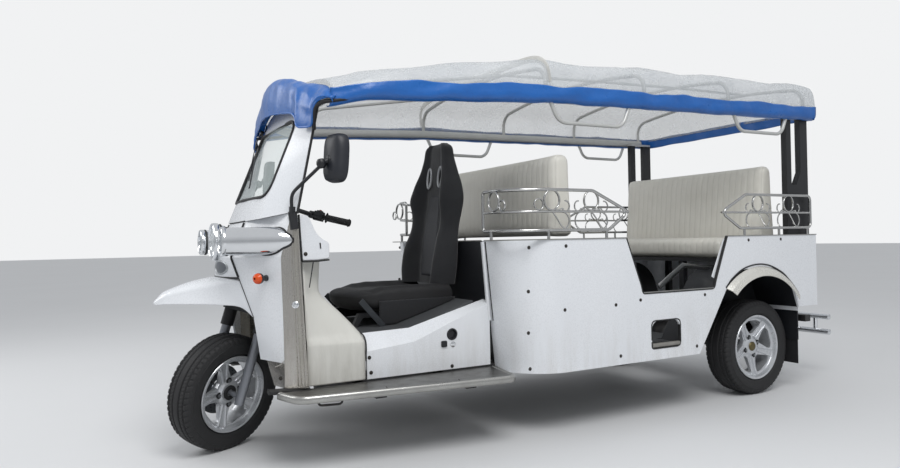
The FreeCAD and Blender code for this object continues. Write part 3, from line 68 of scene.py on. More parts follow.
def surface(name, colours, roughness, metallic=0.0, patch=0.3, grain=0.002, relief=0.0, stretch=(1, 1, 1),
            **own):
    """Material whose colour and roughness drift over patches, with a fine grain of given depth.

    patch and grain are sizes in metres, relief the grain's depth in metres, and stretch draws
    the grain out along an axis. own are sockets of the shader that are the same all over.
    """
    material = bpy.data.materials.new(name)
    material.use_nodes = True
    tree = material.node_tree
    shader = tree.nodes["Principled BSDF"]
    shader.inputs["Metallic"].default_value = metallic
    for key, value in own.items():
        shader.inputs[key.replace("_", " ")].default_value = value
    spot = add(tree, "TexCoord")
    drawn = add(tree, "Mapping", {"Scale": stretch}, {"Vector": spot.outputs["Object"]})
    broad = add(tree, "TexNoise", {"Scale": 1 / patch, "Detail": 5.0, "Roughness": 0.62},
                {"Vector": spot.outputs["Object"]})
    fine = add(tree, "TexNoise", {"Scale": 1 / grain, "Detail": 3.0}, {"Vector": drawn.outputs[0]})
    mixed = add(tree, "Mix", {"data_type": "RGBA", 6: paint(colours[0]), 7: paint(colours[1])},
                {0: broad.outputs["Fac"]})
    tree.links.new(mixed.outputs[2], shader.inputs["Base Color"])
    summed = add(tree, "Math", {"operation": "ADD"}, {0: broad.outputs["Fac"], 1: fine.outputs["Fac"]})
    rough = add(tree, "MapRange", {1: 0.6, 2: 1.4, 3: roughness[0], 4: roughness[1]}, {0: summed.outputs[0]})
    tree.links.new(rough.outputs[0], shader.inputs["Roughness"])
    if relief:
        bump = add(tree, "Bump", {"Strength": 1.0, "Distance": relief}, {"Height": fine.outputs["Fac"]})
        tree.links.new(bump.outputs[0], shader.inputs["Normal"])
    return material


def soiled(material, colour, top, bottom, amount, patch=0.06):
    """Lay dirt over a material: more of it from one height down to another, in blotches and runs."""
    tree = material.node_tree
    colour_socket = tree.nodes["Principled BSDF"].inputs["Base Color"]
    base = colour_socket.links[0].from_socket
    spot = add(tree, "TexCoord")
    apart = add(tree, "SeparateXYZ", {}, {0: spot.outputs["Object"]})
    low = add(tree, "MapRange", {1: top, 2: bottom, 3: 0.0, 4: 1.0}, {0: apart.outputs["Z"]})
    runs = add(tree, "Mapping", {"Scale": (1, 1, 0.16)}, {"Vector": spot.outputs["Object"]})
    blotch = add(tree, "TexNoise", {"Scale": 1 / patch, "Detail": 6.0, "Roughness": 0.7},
                 {"Vector": runs.outputs[0]})
    edge = add(tree, "MapRange", {1: 0.42, 2: 0.72, 3: 0.0, 4: amount}, {0: blotch.outputs["Fac"]})
    share = add(tree, "Math", {"operation": "MULTIPLY"}, {0: low.outputs[0], 1: edge.outputs[0]})
    mixed = add(tree, "Mix", {"data_type": "RGBA", 7: paint(colour)}, {0: share.outputs[0], 6: base})
    tree.links.new(mixed.outputs[2], colour_socket)
    return material


# Two-pack white paint on steel and fibreglass: gloss with a little orange peel, road dust low down
white_paint = soiled(surface("white_two_pack_paint", ("#E4E6E9", "#DADDE1"), (0.2, 0.34), patch=0.5,
                             grain=0.006, relief=0.00008, Coat_Weight=0.35, Coat_Roughness=0.12), "#9C9588",
                     0.62, 0.3, 0.3)
# Roof tubes: dulled grey-white enamel
roof_paint = surface("dulled_tube_enamel", ("#C9C9C6", "#AEAFAD"), (0.3, 0.5), 0.25, patch=0.12, grain=0.002,
                     relief=0.00006)
# Arch flares: buffed pale metal
flare_metal = surface("buffed_arch_flare", ("#E8E6DF", "#CFCDC6"), (0.18, 0.32), 0.55, patch=0.2, grain=0.003)
# The inner fairing is painted a warmer white and has dulled
cream_paint = soiled(surface("cream_brushed_paint", ("#DEDCD2", "#D2D0C6"), (0.32, 0.5), patch=0.4,
                             grain=0.005, relief=0.0001), "#8E877A", 0.7, 0.33, 0.55)
# Stainless sheet of the corner plates, brushed along its height, with water marks and weld stains
corner_steel = soiled(surface("polished_corner_sheet", ("#CFCBC5", "#A9A6A1"), (0.16, 0.34), 1.0, patch=0.14,
                              grain=0.0016, relief=0.00003, stretch=(1, 1, 0.03)), "#7A7064", 0.9, 0.3, 0.4)
# Bright drawn stainless tube: smoother than the sheet
rail_steel = surface("polished_stainless_tube", ("#C9C9C8", "#B2B2B0"), (0.12, 0.24), 1.0, patch=0.1,
                     grain=0.003)
# Chromium plate on pressed steel: a mirror with a faint haze
chrome = surface("chromium_plate", ("#E6E8EA", "#D6D8DB"), (0.03, 0.1), 1.0, patch=0.08, grain=0.004)
# Black stoving enamel on the frame and brackets
black_paint = soiled(surface("black_stoving_enamel", ("#17181A", "#202124"), (0.34, 0.55), patch=0.2,
                             grain=0.003, relief=0.00005), "#57504A", 0.6, 0.2, 0.6)
# Natural rubber and carbon black: tyres, matt
tyre_rubber = surface("tyre_rubber", ("#1A1A1C", "#262627"), (0.6, 0.82), patch=0.12, grain=0.0012,
                      relief=0.00006)
soft_rubber = surface("moulded_black_rubber", ("#141416", "#1D1D20"), (0.5, 0.7), patch=0.05, grain=0.0008,
                      relief=0.00005)
# Moulded ABS with a spark-eroded grain
black_plastic = surface("black_grained_abs", ("#15161A", "#1E2024"), (0.36, 0.52), patch=0.1, grain=0.0009,
                        relief=0.00008)
# Cast aluminium wheel with silver lacquer
wheel_silver = surface("silver_lacquered_casting", ("#D3D5D8", "#BBBEC2"), (0.22, 0.38), 0.62, patch=0.05,
                       grain=0.002, Coat_Weight=0.4, Coat_Roughness=0.15)
fork_silver = surface("painted_fork_slider", ("#8E9197", "#7C7F85"), (0.3, 0.45), 0.7, patch=0.05,
                      grain=0.002)
# Flat laminated glass and clear lamp lenses
screen_glass = surface("laminated_screen_glass", ("#DDE8E6", "#D5E2E0"), (0.02, 0.06), patch=0.4, grain=0.05,
                       Alpha=0.3)
lamp_glass = surface("fluted_lamp_glass", ("#F2F5F7", "#E6ECEF"), (0.03, 0.08), patch=0.05, grain=0.004,
                     Alpha=0.35)
amber_lens = surface("amber_acrylic", ("#E0571A", "#C9440F"), (0.12, 0.25), patch=0.02, grain=0.002)
red_lens = surface("red_acrylic", ("#A6141A", "#8A0E14"), (0.12, 0.25), patch=0.02, grain=0.002)
floor_mat = surface("ribbed_grey_floor_mat", ("#3C3E40", "#4A4C4E"), (0.6, 0.8), patch=0.2, grain=0.003,
                    relief=0.0003)
tread_plate = soiled(surface("five_bar_tread_plate", ("#8D8D8B", "#777674"), (0.3, 0.48), 0.9, patch=0.12,
                             grain=0.002, relief=0.00005), "#4F4A44", 0.4, 0.3, 0.7)

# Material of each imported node, also of those that a piece stands in for
NODE_MATERIAL = {
    white_paint: "front_cowls nose_panel front_mudguard windscreen_frame dash_panel sills body_sides rear_panel",
    roof_paint: "roof_frame",
    cream_paint: "leg_shield",
    corner_steel: "corner_plates",
    tread_plate: "running_boards",
    rail_steel: "guard_rails",
    flare_metal: "arch_flares",
    chrome: "headlamps rear_bumper",
    black_paint: "chassis_frame rear_axle fork_crown driver_seat_frame bench_frames rear_posts handlebar",
    tyre_rubber: "front_tyre rear_left_tyre rear_right_tyre",
    soft_rubber: "fork_gaiters hand_grips mud_flaps",
    # The front bulkhead's black is partly painted shade: it darkens the recess behind the driver's seat
    black_plastic: "front_bulkhead mirrors wheel_arch_liners battery_box driver_seat_cushion driver_seat_back",
    wheel_silver: "front_rim rear_left_rim rear_right_rim",
    fork_silver: "fork_legs",
    screen_glass: "windscreen_glass",
    lamp_glass: "headlamp_lenses",
    amber_lens: "front_indicators",
    red_lens: "tail_lamps",
    floor_mat: "floor_panels",
}
for material, names in NODE_MATERIAL.items():
    for name in names.split():
        NODES[name].data.materials.clear()
        NODES[name].data.materials.append(material)


# Shapes

def unit(way):
    """A direction of length one."""
    way = np.asarray(way, float)
    return way / np.linalg.norm(way, axis=-1, keepdims=True)


def spline(points, count):
    """Smooth curve through points: a Catmull-Rom cubic between each two, sampled evenly along the chords."""
    points = np.array(points, float)
    ends = np.vstack([2 * points[0] - points[1], points, 2 * points[-1] - points[-2]])
    span = np.concatenate([[0], np.cumsum(np.linalg.norm(np.diff(points, axis=0), axis=1))])
    place = np.linspace(0, span[-1], count)
    k = np.clip(np.searchsorted(span, place, side="right") - 1, 0, len(points) - 2)
    t = ((place - span[k]) / (span[k + 1] - span[k]))[:, None]
    a, b, c, d = ends[k], ends[k + 1], ends[k + 2], ends[k + 3]
    curve = 2 * b + (c - a) * t + (2 * a - 5 * b + 4 * c - d) * t ** 2 + (3 * b - a - 3 * c + d) * t ** 3
    return 0.5 * curve


def bent(points, radius, steps=7):
    """Straight runs with corners (1-t)^2 a + 2t(1-t) corner + t^2 b, from a radius before to one after."""
    points = np.array(points, float)
    line = [points[:1]]
    t = np.linspace(0, 1, steps)[:, None]
    for before, corner, after in zip(points[:-2], points[1:-1], points[2:]):
        cut = min(radius, np.linalg.norm(before - corner) * 0.49, np.linalg.norm(after - corner) * 0.49)
        start = corner + unit(before - corner) * cut
        end = corner + unit(after - corner) * cut
        line.append((1 - t) ** 2 * start + 2 * t * (1 - t) * corner + t ** 2 * end)
    return np.vstack(line + [points[-1:]])


def power(value, exponent):
    """Signed power: sign(v)·|v|^exponent."""
    return np.sign(value) * np.abs(value) ** exponent


def smooth(value):
    """Smooth step 3v^2 - 2v^3 of a value held between 0 and 1."""
    value = np.clip(value, 0, 1)
    return value * value * (3 - 2 * value)


def turn_steps(count):
    """Angles of one full turn, in count steps, with no step at its end."""
    return np.linspace(0, TAU, count, endpoint=False)


def circle(radius, count=12):
    """Outline of radius·(cos a, sin a)."""
    a = turn_steps(count)
    return radius * np.stack([np.cos(a), np.sin(a)], -1)


def rounded_box(width, height, exponent=4.0, count=24):
    """Outline |2a/width|^exponent + |2b/height|^exponent = 1."""
    a = turn_steps(count)
    return np.stack([width / 2 * power(np.cos(a), 2 / exponent), height / 2 * power(np.sin(a), 2 / exponent)],
                    -1)


def grid(points, wrap_u=False, wrap_v=False, caps=False):
    """Faces over rows of points; wrapping joins last row or column to first, caps close the end rows."""
    rows, columns = points.shape[:2]
    at = np.arange(rows * columns).reshape(rows, columns)
    ends = [at[0].tolist(), at[-1][::-1].tolist()] if caps else []
    if wrap_u:
        at = np.vstack([at, at[:1]])
    if wrap_v:
        at = np.hstack([at, at[:, :1]])
    faces = np.stack([at[:-1, :-1], at[1:, :-1], at[1:, 1:], at[:-1, 1:]], -1).reshape(-1, 4)
    return points.reshape(-1, 3), faces.tolist() + ends


def carried(path, outline, up=Z, loop=False):
    """Outline carried along a path: path(i) + a(j)·side(i) + b(j)·over(i), both square to the path."""
    path = np.asarray(path, float)
    ahead = np.roll(path, -1, 0) - np.roll(path, 1, 0) if loop else np.gradient(path, axis=0)
    ahead = unit(ahead)
    side = unit(np.cross(ahead, up))
    over = np.cross(side, ahead)
    outline = np.asarray(outline, float)
    points = path[:, None] + outline[..., :1] * side[:, None] + outline[..., 1:] * over[:, None]
    return grid(points, wrap_u=loop, wrap_v=True, caps=not loop)


def bar(path, width, height, exponent=3, count=12, up=Z, loop=False):
    """A rounded box carried along a path: its width lies across, its height along up."""
    return carried(path, rounded_box(width, height, exponent, count), up, loop)


# Radius at which a turned profile ends on its own axis
TIP = 0.0005


def turned(profile, middle, axis, count=40):
    """Profile of (along, out) turned about an axis: middle + along·axis + out·(cos a·p + sin a·q)."""
    axis = unit(axis)
    p = unit(np.cross(axis, (0.31, 0.17, 0.93) if abs(axis[2]) < 0.9 else X))
    a = turn_steps(count)
    around = np.cos(a)[:, None] * p + np.sin(a)[:, None] * np.cross(axis, p)
    profile = np.array(profile, float)
    points = np.asarray(middle, float) + profile[:, :1, None] * axis + profile[:, 1:, None] * around
    return grid(points, wrap_v=True)


def placed(part, matrix):
    """A part moved by a 4 by 4 matrix."""
    matrix = np.array(matrix)
    return part[0] @ matrix[:3, :3].T + matrix[:3, 3], part[1]


def mirrored(part):
    """A part's twin on the vehicle's other side."""
    return part[0] * (1, -1, 1), [face[::-1] for face in part[1]]


def both(parts):
    """Parts and their twins."""
    return parts + [mirrored(part) for part in parts]


def ripple(a, b, size, seed, waves=12):
    """Sum of sine waves with random headings and phases over two coordinates, about -1 to 1."""
    rng = np.random.default_rng(seed)
    total = 0
    draws = rng.uniform(0, TAU, waves), rng.uniform(0, TAU, waves), rng.uniform(0.6, 1.7, waves)
    for turn, phase, scale in zip(*draws):
        total = total + np.sin(TAU * scale / size * (a * math.cos(turn) + b * math.sin(turn)) + phase)
    return total / math.sqrt(waves) / 1.6


def raised(points, height):
    """A grid of points moved along its own normals by a height at each."""
    across = np.cross(np.gradient(points, axis=0), np.gradient(points, axis=1))
    length = np.linalg.norm(across, axis=-1, keepdims=True)
    return points + across / np.maximum(length, 1e-12) * height[..., None]


def linked(name, data):
    """A new object of given data, in the scene."""
    made = bpy.data.objects.new(name, data)
    bpy.context.scene.collection.objects.link(made)
    return made


def piece(name, parts, material, slot, body="body", replaces=(), sharp=40, wall=0.0, outward=True):
    """One object from parts: doubles merged, faces outwards, smooth below an angle, wall by Solidify."""
    faces, count = [], 0
    for points, part in parts:
        faces += (part if not count else [[i + count for i in face] for face in part])
        count += len(points)
    mesh = bpy.data.meshes.new(name)
    mesh.from_pydata(np.vstack([points for points, part in parts]).tolist(), [], faces)
    work = bmesh.new()
    work.from_mesh(mesh)
    bmesh.ops.remove_doubles(work, verts=work.verts, dist=2e-5)
    if outward:
        bmesh.ops.recalc_face_normals(work, faces=work.faces)
    work.to_mesh(mesh)
    work.free()
    mesh.shade_smooth()
    mesh.set_sharp_from_angle(angle=math.radians(sharp))
    mesh.materials.append(material)
    made = linked(name, mesh)
    if wall:
        shell = made.modifiers.new("wall", "SOLIDIFY")
        shell.thickness = wall
        shell.offset = -1
    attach(made, body)
    if replaces:
        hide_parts(*([replaces] if isinstance(replaces, str) else replaces))
    return made


# Front wheel and fork as the photograph has them: at the axle, leant back by the rake and turned left
FRONT_AXLE, RAKE, TURNED_LEFT = (1.745, 0, 0.2665), math.radians(-17), math.radians(30)
STEERED = np.array(Matrix.Translation(FRONT_AXLE) @ Matrix.Rotation(RAKE, 4, "Y")
                   @ Matrix.Rotation(TURNED_LEFT, 4, "Z"))


# Canopy

# Clear PVC film, gone milky: mostly see-through, with a soft gloss and small creases
clear_film = surface("clear_pvc_film", ("#F0F2F3", "#A9B1B8"), (0.16, 0.34), patch=0.3, grain=0.05,
                     relief=0.0008, Alpha=0.34)
# PVC-coated polyester tarpaulin: strong blue, semi-gloss, rumpled, with the weave just showing
blue_tarpaulin = surface("blue_coated_tarpaulin", ("#1767B8", "#0F4F98"), (0.24, 0.42), patch=0.18,
                         grain=0.05, relief=0.004, Coat_Weight=0.25, Coat_Roughness=0.3)
white_webbing = surface("white_polyester_webbing", ("#DAD9D4", "#C4C3BE"), (0.6, 0.8), patch=0.05,
                        grain=0.0015, relief=0.0003)

# X of the roof's bows, and where the film ends behind them
BOWS = (0.346, -0.29, -0.929, -1.589)
FILM_END = -1.662


def blue_sheet(name, points):
    """A piece of blue tarpaulin over a grid of points."""
    return piece(name, [grid(points)], blue_tarpaulin, "blue_sheet", replaces="canopy_border", sharp=60,
                 wall=0.0015)


def side_tube(x):
    """Half width and height of the roof's side tube: straight between its ends and its bend."""
    ends = (-1.66, 0.346, 1.25, 1.405)
    return np.interp(x, ends, (0.7, 0.655, 0.6, 0.547)), np.interp(x, ends, (1.684, 1.64, 1.588, 1.56))


def film_crown(x):
    """Height of the film's crown: straight from bow to bow, less a slack of 14 mm·sin²."""
    rise = np.interp(x, (-1.665, -1.589, -0.929, -0.29, 0.346, 0.815, 1.29, 1.405),
                     (0.222, 0.236, 0.239, 0.232, 0.217, 0.189, 0.137, 0.14))
    bay = np.interp(x, BOWS[::-1], (3, 2, 1, 0))
    return side_tube(x)[1] + rise - 0.014 * np.sin(math.pi * bay) ** 2


def film_section(x, angle):
    """Cross section |y/W|^p + |h/H|^p = 1 from the left edge over the crown to the right, rounder in front."""
    exponent = np.interp(x, (0.346, 1.405), (4.6, 2.3))
    half, high = side_tube(x)
    c, s = np.cos(angle), np.sin(angle)
    y = (half + 0.029) * power(c, 2 / exponent)
    base = high + 0.02
    z = base + (film_crown(x) - base) * np.clip(s, 0, 1) ** (2 / exponent)
    return y, z


def make_film():
    """Film: sections along the roof, then folded down flat behind the last bow; creases fan from each bow."""
    x = np.linspace(1.405, FILM_END, 230)[:, None]
    angle = np.linspace(0, math.pi, 140)[None]
    y, z = film_section(x, angle)
    points = np.stack([x + 0 * y, y, z], -1)
    # Tension creases: ridges along lines from a bow's shoulder down to the border further back
    height = 0.0035 * ripple(x, y, 0.5, 3) * np.clip(np.sin(angle) * 3, 0, 1)
    arc = angle + 0 * x
    for bow in BOWS:
        for reach, strength, top in ((0.13, 0.006, 1.1), (0.3, 0.007, 0.95), (0.5, 0.0055, 1.2),
                                     (-0.16, 0.005, 1.0), (-0.34, 0.004, 1.25)):
            for mirror in (arc, math.pi - arc):
                line = bow - reach * (1 - mirror / top)
                near = np.exp(-((x - line) / 0.013) ** 2) * np.clip(1.15 - mirror / top, 0, 1)
                height = height + strength * near
    points = raised(points, height * np.clip(np.sin(arc) * 5 - 0.55, 0, 1))
    # End panel: the last section brought down to the border
    t = np.linspace(0, 1, 16)[1:, None]
    last = points[-1][None]
    base = side_tube(FILM_END)[1] + 0.02
    down = np.repeat(last, len(t), 0)
    down[..., 2] = base + (last[..., 2] - base) * (1 - t)
    down[..., 0] = last[..., 0] - 0.012 * np.sin(t * math.pi / 2)
    points = np.concatenate([points, down])
    film = piece("roof_film", [grid(points)], clear_film, "clear_sheet", replaces="canopy_sheet", sharp=70,
                 wall=0.0012)


def make_border(side, name):
    """Border strip carried round the side tube: down outside it, under it, and up a little inside."""
    x = np.linspace(1.41, -1.668, 220)
    half, high = side_tube(x)
    line = spline([(0.0312, 0.043), (0.0315, 0.02), (0.0312, 0.0), (0.026, -0.019), (0.012, -0.031),
                   (-0.004, -0.0325), (-0.017, -0.027)], 26)
    # The top edge lifts and falls as the welds pull, and the strip is baggy between them
    slack = ripple(x[:, None], line[None, :, 1] * 2.0, 0.22, 11 + side) + 0.6 * ripple(x[:, None], 0, 0.9, 5)
    points = np.stack([x[:, None] + 0 * line[None, :, 0], side * (half[:, None] + line[None, :, 0]),
                       high[:, None] + line[None, :, 1]], -1)
    out = np.stack([0 * line[:, 0], side * np.clip(line[:, 0] / 0.03, -1, 1), line[:, 1] / 0.04], -1)
    points = points + out[None] * (0.0035 * (slack[..., None] + 0.7))
    sway = ripple(x[:, None], 0, 0.7, 21 + side)
    points[..., 2] += (np.clip(line[:, 1] / 0.04, 0, 1) ** 2)[None] * 0.008 * sway
    blue_sheet(name, points)


def make_hood():
    """Hood over the windscreen: (1-u)^2·lip + 2u(1-u)·bulge + u^2·back, from the front lip back to the film."""
    count = 121
    lip_half = np.array([(1.39, 0.59, 1.562), (1.42, 0.576, 1.556), (1.446, 0.558, 1.549),
                         (1.463, 0.534, 1.528), (1.466, 0.51, 1.487), (1.464, 0.493, 1.453),
                         (1.47, 0.475, 1.444), (1.482, 0.44, 1.446), (1.494, 0.406, 1.45),
                         (1.501, 0.388, 1.462), (1.5, 0.37, 1.496), (1.503, 0.32, 1.524),
                         (1.512, 0.22, 1.541), (1.531, 0.1, 1.553), (1.537, 0.0, 1.557)])
    lip = spline(np.vstack([lip_half, lip_half[-2::-1] * (1, -1, 1)]), count)
    half, high = side_tube(1.4)
    turn = np.linspace(0, math.pi, 400)
    y, z = film_section(1.4, turn)
    back = np.stack([1.4 + 0 * y, y * 1.004, z + 0.003 - 0.03 * np.clip(np.abs(y) / 0.3, 0, 1)], -1)
    low = np.array([[1.4, half + 0.0315, high - 0.032], [1.4, half + 0.0315, high]])
    back = spline(np.vstack([low, back[14:-14:12], low[::-1] * (1, -1, 1)]), count)
    across = lip[:, 1]
    crown = np.maximum(1.82 - 0.94 * across ** 2, (lip[:, 2] + back[:, 2]) / 2)
    bulge = np.stack([lip[:, 0] * 0.9 + back[:, 0] * 0.1 + 0.02, (lip[:, 1] + back[:, 1]) / 2 * 1.02, crown],
                     -1)
    u = np.linspace(0, 1, 60)[:, None, None]
    points = (1 - u) ** 2 * lip + 2 * u * (1 - u) * bulge + u ** 2 * back
    # Rumples run back from the lip, deepest over the pillars
    v = np.linspace(0, 1, count)[None]
    fold = ripple(v * 1.6 + u[..., 0] * 0.08, u[..., 0] * 0.2, 0.11, 8)
    fold = fold + 0.6 * ripple(v * 1.5, u[..., 0], 0.35, 9)
    fade = np.sin(math.pi * np.clip(u[..., 0] * 0.9 + 0.1, 0, 1)) ** 0.7
    sides = 0.45 + 0.55 * np.abs(2 * v - 1)
    points = raised(points, -0.006 * fold * fade * sides)
    hood = blue_sheet("windscreen_hood", points)
    # Rolled hem along the lip
    hem = piece("hood_hem", [carried(lip + (0, 0, 0.002), circle(0.0045, 8))], blue_tarpaulin, "blue_sheet")


def make_front_bends():
    """Black ends of the roof tubes that turn down from the border to the windscreen pillars; their black stands
    partly for painted shade under the tubes.
    """
    way = [(1.29, 0.6, 1.561), (1.392, 0.578, 1.545), (1.44, 0.556, 1.537), (1.458, 0.528, 1.515),
           (1.456, 0.5, 1.475), (1.449, 0.476, 1.435)]
    piece("roof_front_bends", both([carried(spline(way, 40), circle(0.009, 12), up=Y)]), soft_rubber,
          "black_rubber")


def make_rear_strip():
    """Border strip across the back, hanging from the film's end panel."""
    y = np.linspace(-0.73, 0.73, 150)[:, None]
    z = np.linspace(1.652, 1.722, 9)[None]
    x = -1.677 - 0.003 * ripple(y, z * 2, 0.2, 31) + 0.02 * np.clip(np.abs(y) / 0.73, 0, 1) ** 30 + 0 * z
    points = np.stack([x, y + 0 * z, z + 0.004 * ripple(y, 0, 0.5, 32)], -1)
    blue_sheet("border_rear", points)


def make_joint_strip():
    """Welded strip over the first bow, along the film's own section, swaying by 12 mm·sin 3a."""
    angle = np.linspace(0.02, math.pi - 0.02, 120)
    y, z = film_section(BOWS[0], angle)
    path = np.stack([BOWS[0] + 0.012 * np.sin(angle * 3), y * 1.003, z + 0.0035], -1)
    piece("film_joint_strip", [bar(path, 0.034, 0.0016, 4, 10, X)], white_webbing, "clear_sheet")


make_film()
make_border(1, "border_left")
make_border(-1, "border_right")
make_hood()
make_front_bends()
make_rear_strip()
make_joint_strip()


# Seats

def quilted(name, colours, roughness, pitch, axis, depth, **own):
    """Coated cloth over foam with sewn channels across one axis: a rounded groove at each pitch, its bottom darkened
    with painted shade and dirt.
    """
    material = surface(name, colours, roughness, patch=0.25, grain=0.0012, relief=0.00012, **own)
    tree = material.node_tree
    shader = tree.nodes["Principled BSDF"]
    grain_bump = shader.inputs["Normal"].links[0].from_node
    spot = add(tree, "TexCoord")
    apart = add(tree, "SeparateXYZ", {}, {0: spot.outputs["Object"]})
    turn = add(tree, "Math", {"operation": "MULTIPLY", 1: math.pi / pitch}, {0: apart.outputs[axis]})
    wave = add(tree, "Math", {"operation": "SINE"}, {0: turn.outputs[0]})
    size = add(tree, "Math", {"operation": "ABSOLUTE"}, {0: wave.outputs[0]})
    round_top = add(tree, "Math", {"operation": "POWER", 1: 0.35}, {0: size.outputs[0]})
    groove = add(tree, "Bump", {"Strength": 1.0, "Distance": depth},
                 {"Height": round_top.outputs[0], "Normal": grain_bump.outputs[0]})
    tree.links.new(groove.outputs[0], shader.inputs["Normal"])
    # Painted shade and dirt in the stitched grooves: their bottoms are mixed towards a grey-brown
    base = shader.inputs["Base Color"].links[0].from_socket
    groove_shade_and_dirt = add(tree, "MapRange", {1: 0.0, 2: 0.55, 3: 0.22, 4: 0.0}, {0: round_top.outputs[0]})
    mixed = add(tree, "Mix", {"data_type": "RGBA", 7: paint("#8C887E")}, {0: groove_shade_and_dirt.outputs[0], 6: base})
    tree.links.new(mixed.outputs[2], shader.inputs["Base Color"])
    return material


# White marine vinyl on foam, sewn in upright channels 44 mm apart, a little yellowed
white_vinyl = quilted("channelled_white_vinyl", ("#DDDBD3", "#C6C3B9"), (0.36, 0.5), 0.044, "Y", 0.0028)
# Black knitted seat cloth: matt, with a fine rib
black_cloth = surface("black_knitted_seat_cloth", ("#101114", "#1A1B1F"), (0.75, 0.92), patch=0.1,
                      grain=0.0018, relief=0.0006, Sheen_Weight=0.25, Sheen_Roughness=0.5)
# Dark grey leatherette of the seat's middle
grey_leatherette = surface("grey_leatherette", ("#26272B", "#303136"), (0.38, 0.52), patch=0.12, grain=0.0014,
                           relief=0.0003)
# Driver's cushion: the same cloth, rubbed a little lighter and smoother
worn_cloth = surface("rubbed_seat_cloth", ("#121316", "#1F1E1F"), (0.6, 0.85), patch=0.07, grain=0.0018,
                     relief=0.0005)
stay_steel = surface("grey_painted_flat_steel", ("#3C4044", "#2E3134"), (0.4, 0.6), 0.4, patch=0.05,
                     grain=0.001)
bezel_grey = surface("satin_grey_bezel", ("#B4B6B8", "#9A9C9F"), (0.25, 0.4), 0.2, patch=0.03, grain=0.001)


# Size of the pads' remeshed skin, and frames that the cloth runs for
VOXEL, CLOTH_FRAMES = 0.014, 14


def pad(section, half, edge, corner=0.035):
    """Section in X and Z with rounded corners, carried across and drawn in at both ends.

    Towards an end each ring shrinks by edge·(1-cos t) while y moves on by edge·sin t.
    """
    section = np.array(section, float)
    middle = section.mean(0)
    # The loop starts and ends half way along its first side
    start = (section[0] + section[1]) / 2
    line = bent(np.vstack([start, section[1:], section[:1], start]), corner, 8)[:-1]
    reach = np.abs(section - middle).max(0)
    t = np.linspace(math.pi / 2, 0, 8)
    inset = np.concatenate([edge * (1 - np.cos(t)), np.zeros(14), edge * (1 - np.cos(t[::-1]))])
    y = np.concatenate([-half + edge * (1 - np.sin(t)), np.linspace(-half + edge, half - edge, 16)[1:-1],
                        half - edge * (1 - np.sin(t[::-1]))])
    share = 1 - inset[:, None, None] / reach
    ring = middle + (line - middle) * share
    points = np.stack([ring[..., 0], y[:, None] + 0 * ring[..., 0], ring[..., 1]], -1)
    return grid(points, wrap_v=True, caps=True)


def settled(made):
    """Work an object's one modifier into its mesh: a voxel remesh, a cloth's last state or a cut."""
    held = made.modifiers[0]
    fresh = bpy.data.meshes.new_from_object(made.evaluated_get(bpy.context.evaluated_depsgraph_get()))
    made.modifiers.remove(held)
    fresh.name = made.name
    old, made.data = made.data, fresh
    bpy.data.meshes.remove(old)
    fresh.shade_smooth()


def places(made):
    """Places of an object's vertices, one row each."""
    flat = np.empty(len(made.data.vertices) * 3)
    made.data.vertices.foreach_get("co", flat)
    return flat.reshape(-1, 3)


def stuff(pads, cap=0.012):
    """Blow the pads' skins up with cloth under pressure, each point moving by at most the cap."""
    for made in pads:
        skin = made.modifiers.new("skin", "REMESH")
        skin.mode = "VOXEL"
        skin.voxel_size = VOXEL
        skin.use_smooth_shade = True
        settled(made)
    before = [places(made) for made in pads]
    for made in pads:
        cloth = made.modifiers.new("cloth", "CLOTH").settings
        cloth.use_pressure = True
        cloth.uniform_pressure_force = 4.0
        cloth.quality = 5
        cloth.effector_weights.gravity = 0
    for frame_number in range(1, CLOTH_FRAMES + 1):
        bpy.context.scene.frame_set(frame_number)
    for made, old in zip(pads, before):
        settled(made)
        step = places(made) - old
        length = np.linalg.norm(step, axis=1, keepdims=True)
        held = old + step * np.minimum(1, cap / np.maximum(length, 1e-9))
        made.data.vertices.foreach_set("co", held.ravel())
    bpy.context.scene.frame_set(1)


def make_benches():
    """Two seat cushions and two backs, each a rounded pad that the cloth skin then fills out."""
    # Name, section in X and Z, node
    cushions = [(name, [(rear, 0.824), (front, 0.824), (front, 0.924), (rear, 0.924)], "bench_cushions")
                for name, rear, front in (("front_bench_cushion", -0.28, 0.104),
                                          ("rear_bench_cushion", -1.29, -0.958))]
    backs = [(name, section, "bench_backs") for name, section in (
        ("front_bench_back", [(0.129, 0.95), (0.25, 0.95), (0.238, 1.382), (0.15, 1.382)]),
        ("rear_bench_back", [(-1.474, 0.828), (-1.306, 0.828), (-1.36, 1.382), (-1.432, 1.382)]))]
    pads = [piece(name, [pad(section, 0.592, 0.03)], white_vinyl, "white_vinyl", replaces=node)
            for name, section, node in cushions + backs]
    stuff(pads)


# Height, half width, front of the wings, rear face and front of the middle of the driver's seat back
BACK = np.array([(0.722, 0.214, 0.768, 0.606, 0.674), (0.82, 0.232, 0.757, 0.6, 0.664),
                 (0.92, 0.229, 0.733, 0.592, 0.655), (1.02, 0.212, 0.693, 0.573, 0.64),
                 (1.10, 0.216, 0.692, 0.556, 0.626), (1.17, 0.222, 0.7, 0.547, 0.617),
                 (1.24, 0.204, 0.682, 0.545, 0.612), (1.31, 0.168, 0.656, 0.546, 0.61),
                 (1.39, 0.133, 0.636, 0.55, 0.608), (1.45, 0.115, 0.628, 0.552, 0.604),
                 (1.476, 0.078, 0.61, 0.562, 0.596)])
# Harness slots: distance from the middle plane and height
SLOT_OUT, SLOT_HIGH = 0.062, 1.293


def back_rows(count):
    """The table's columns on a smooth curve through its rows."""
    return spline(BACK, count).T


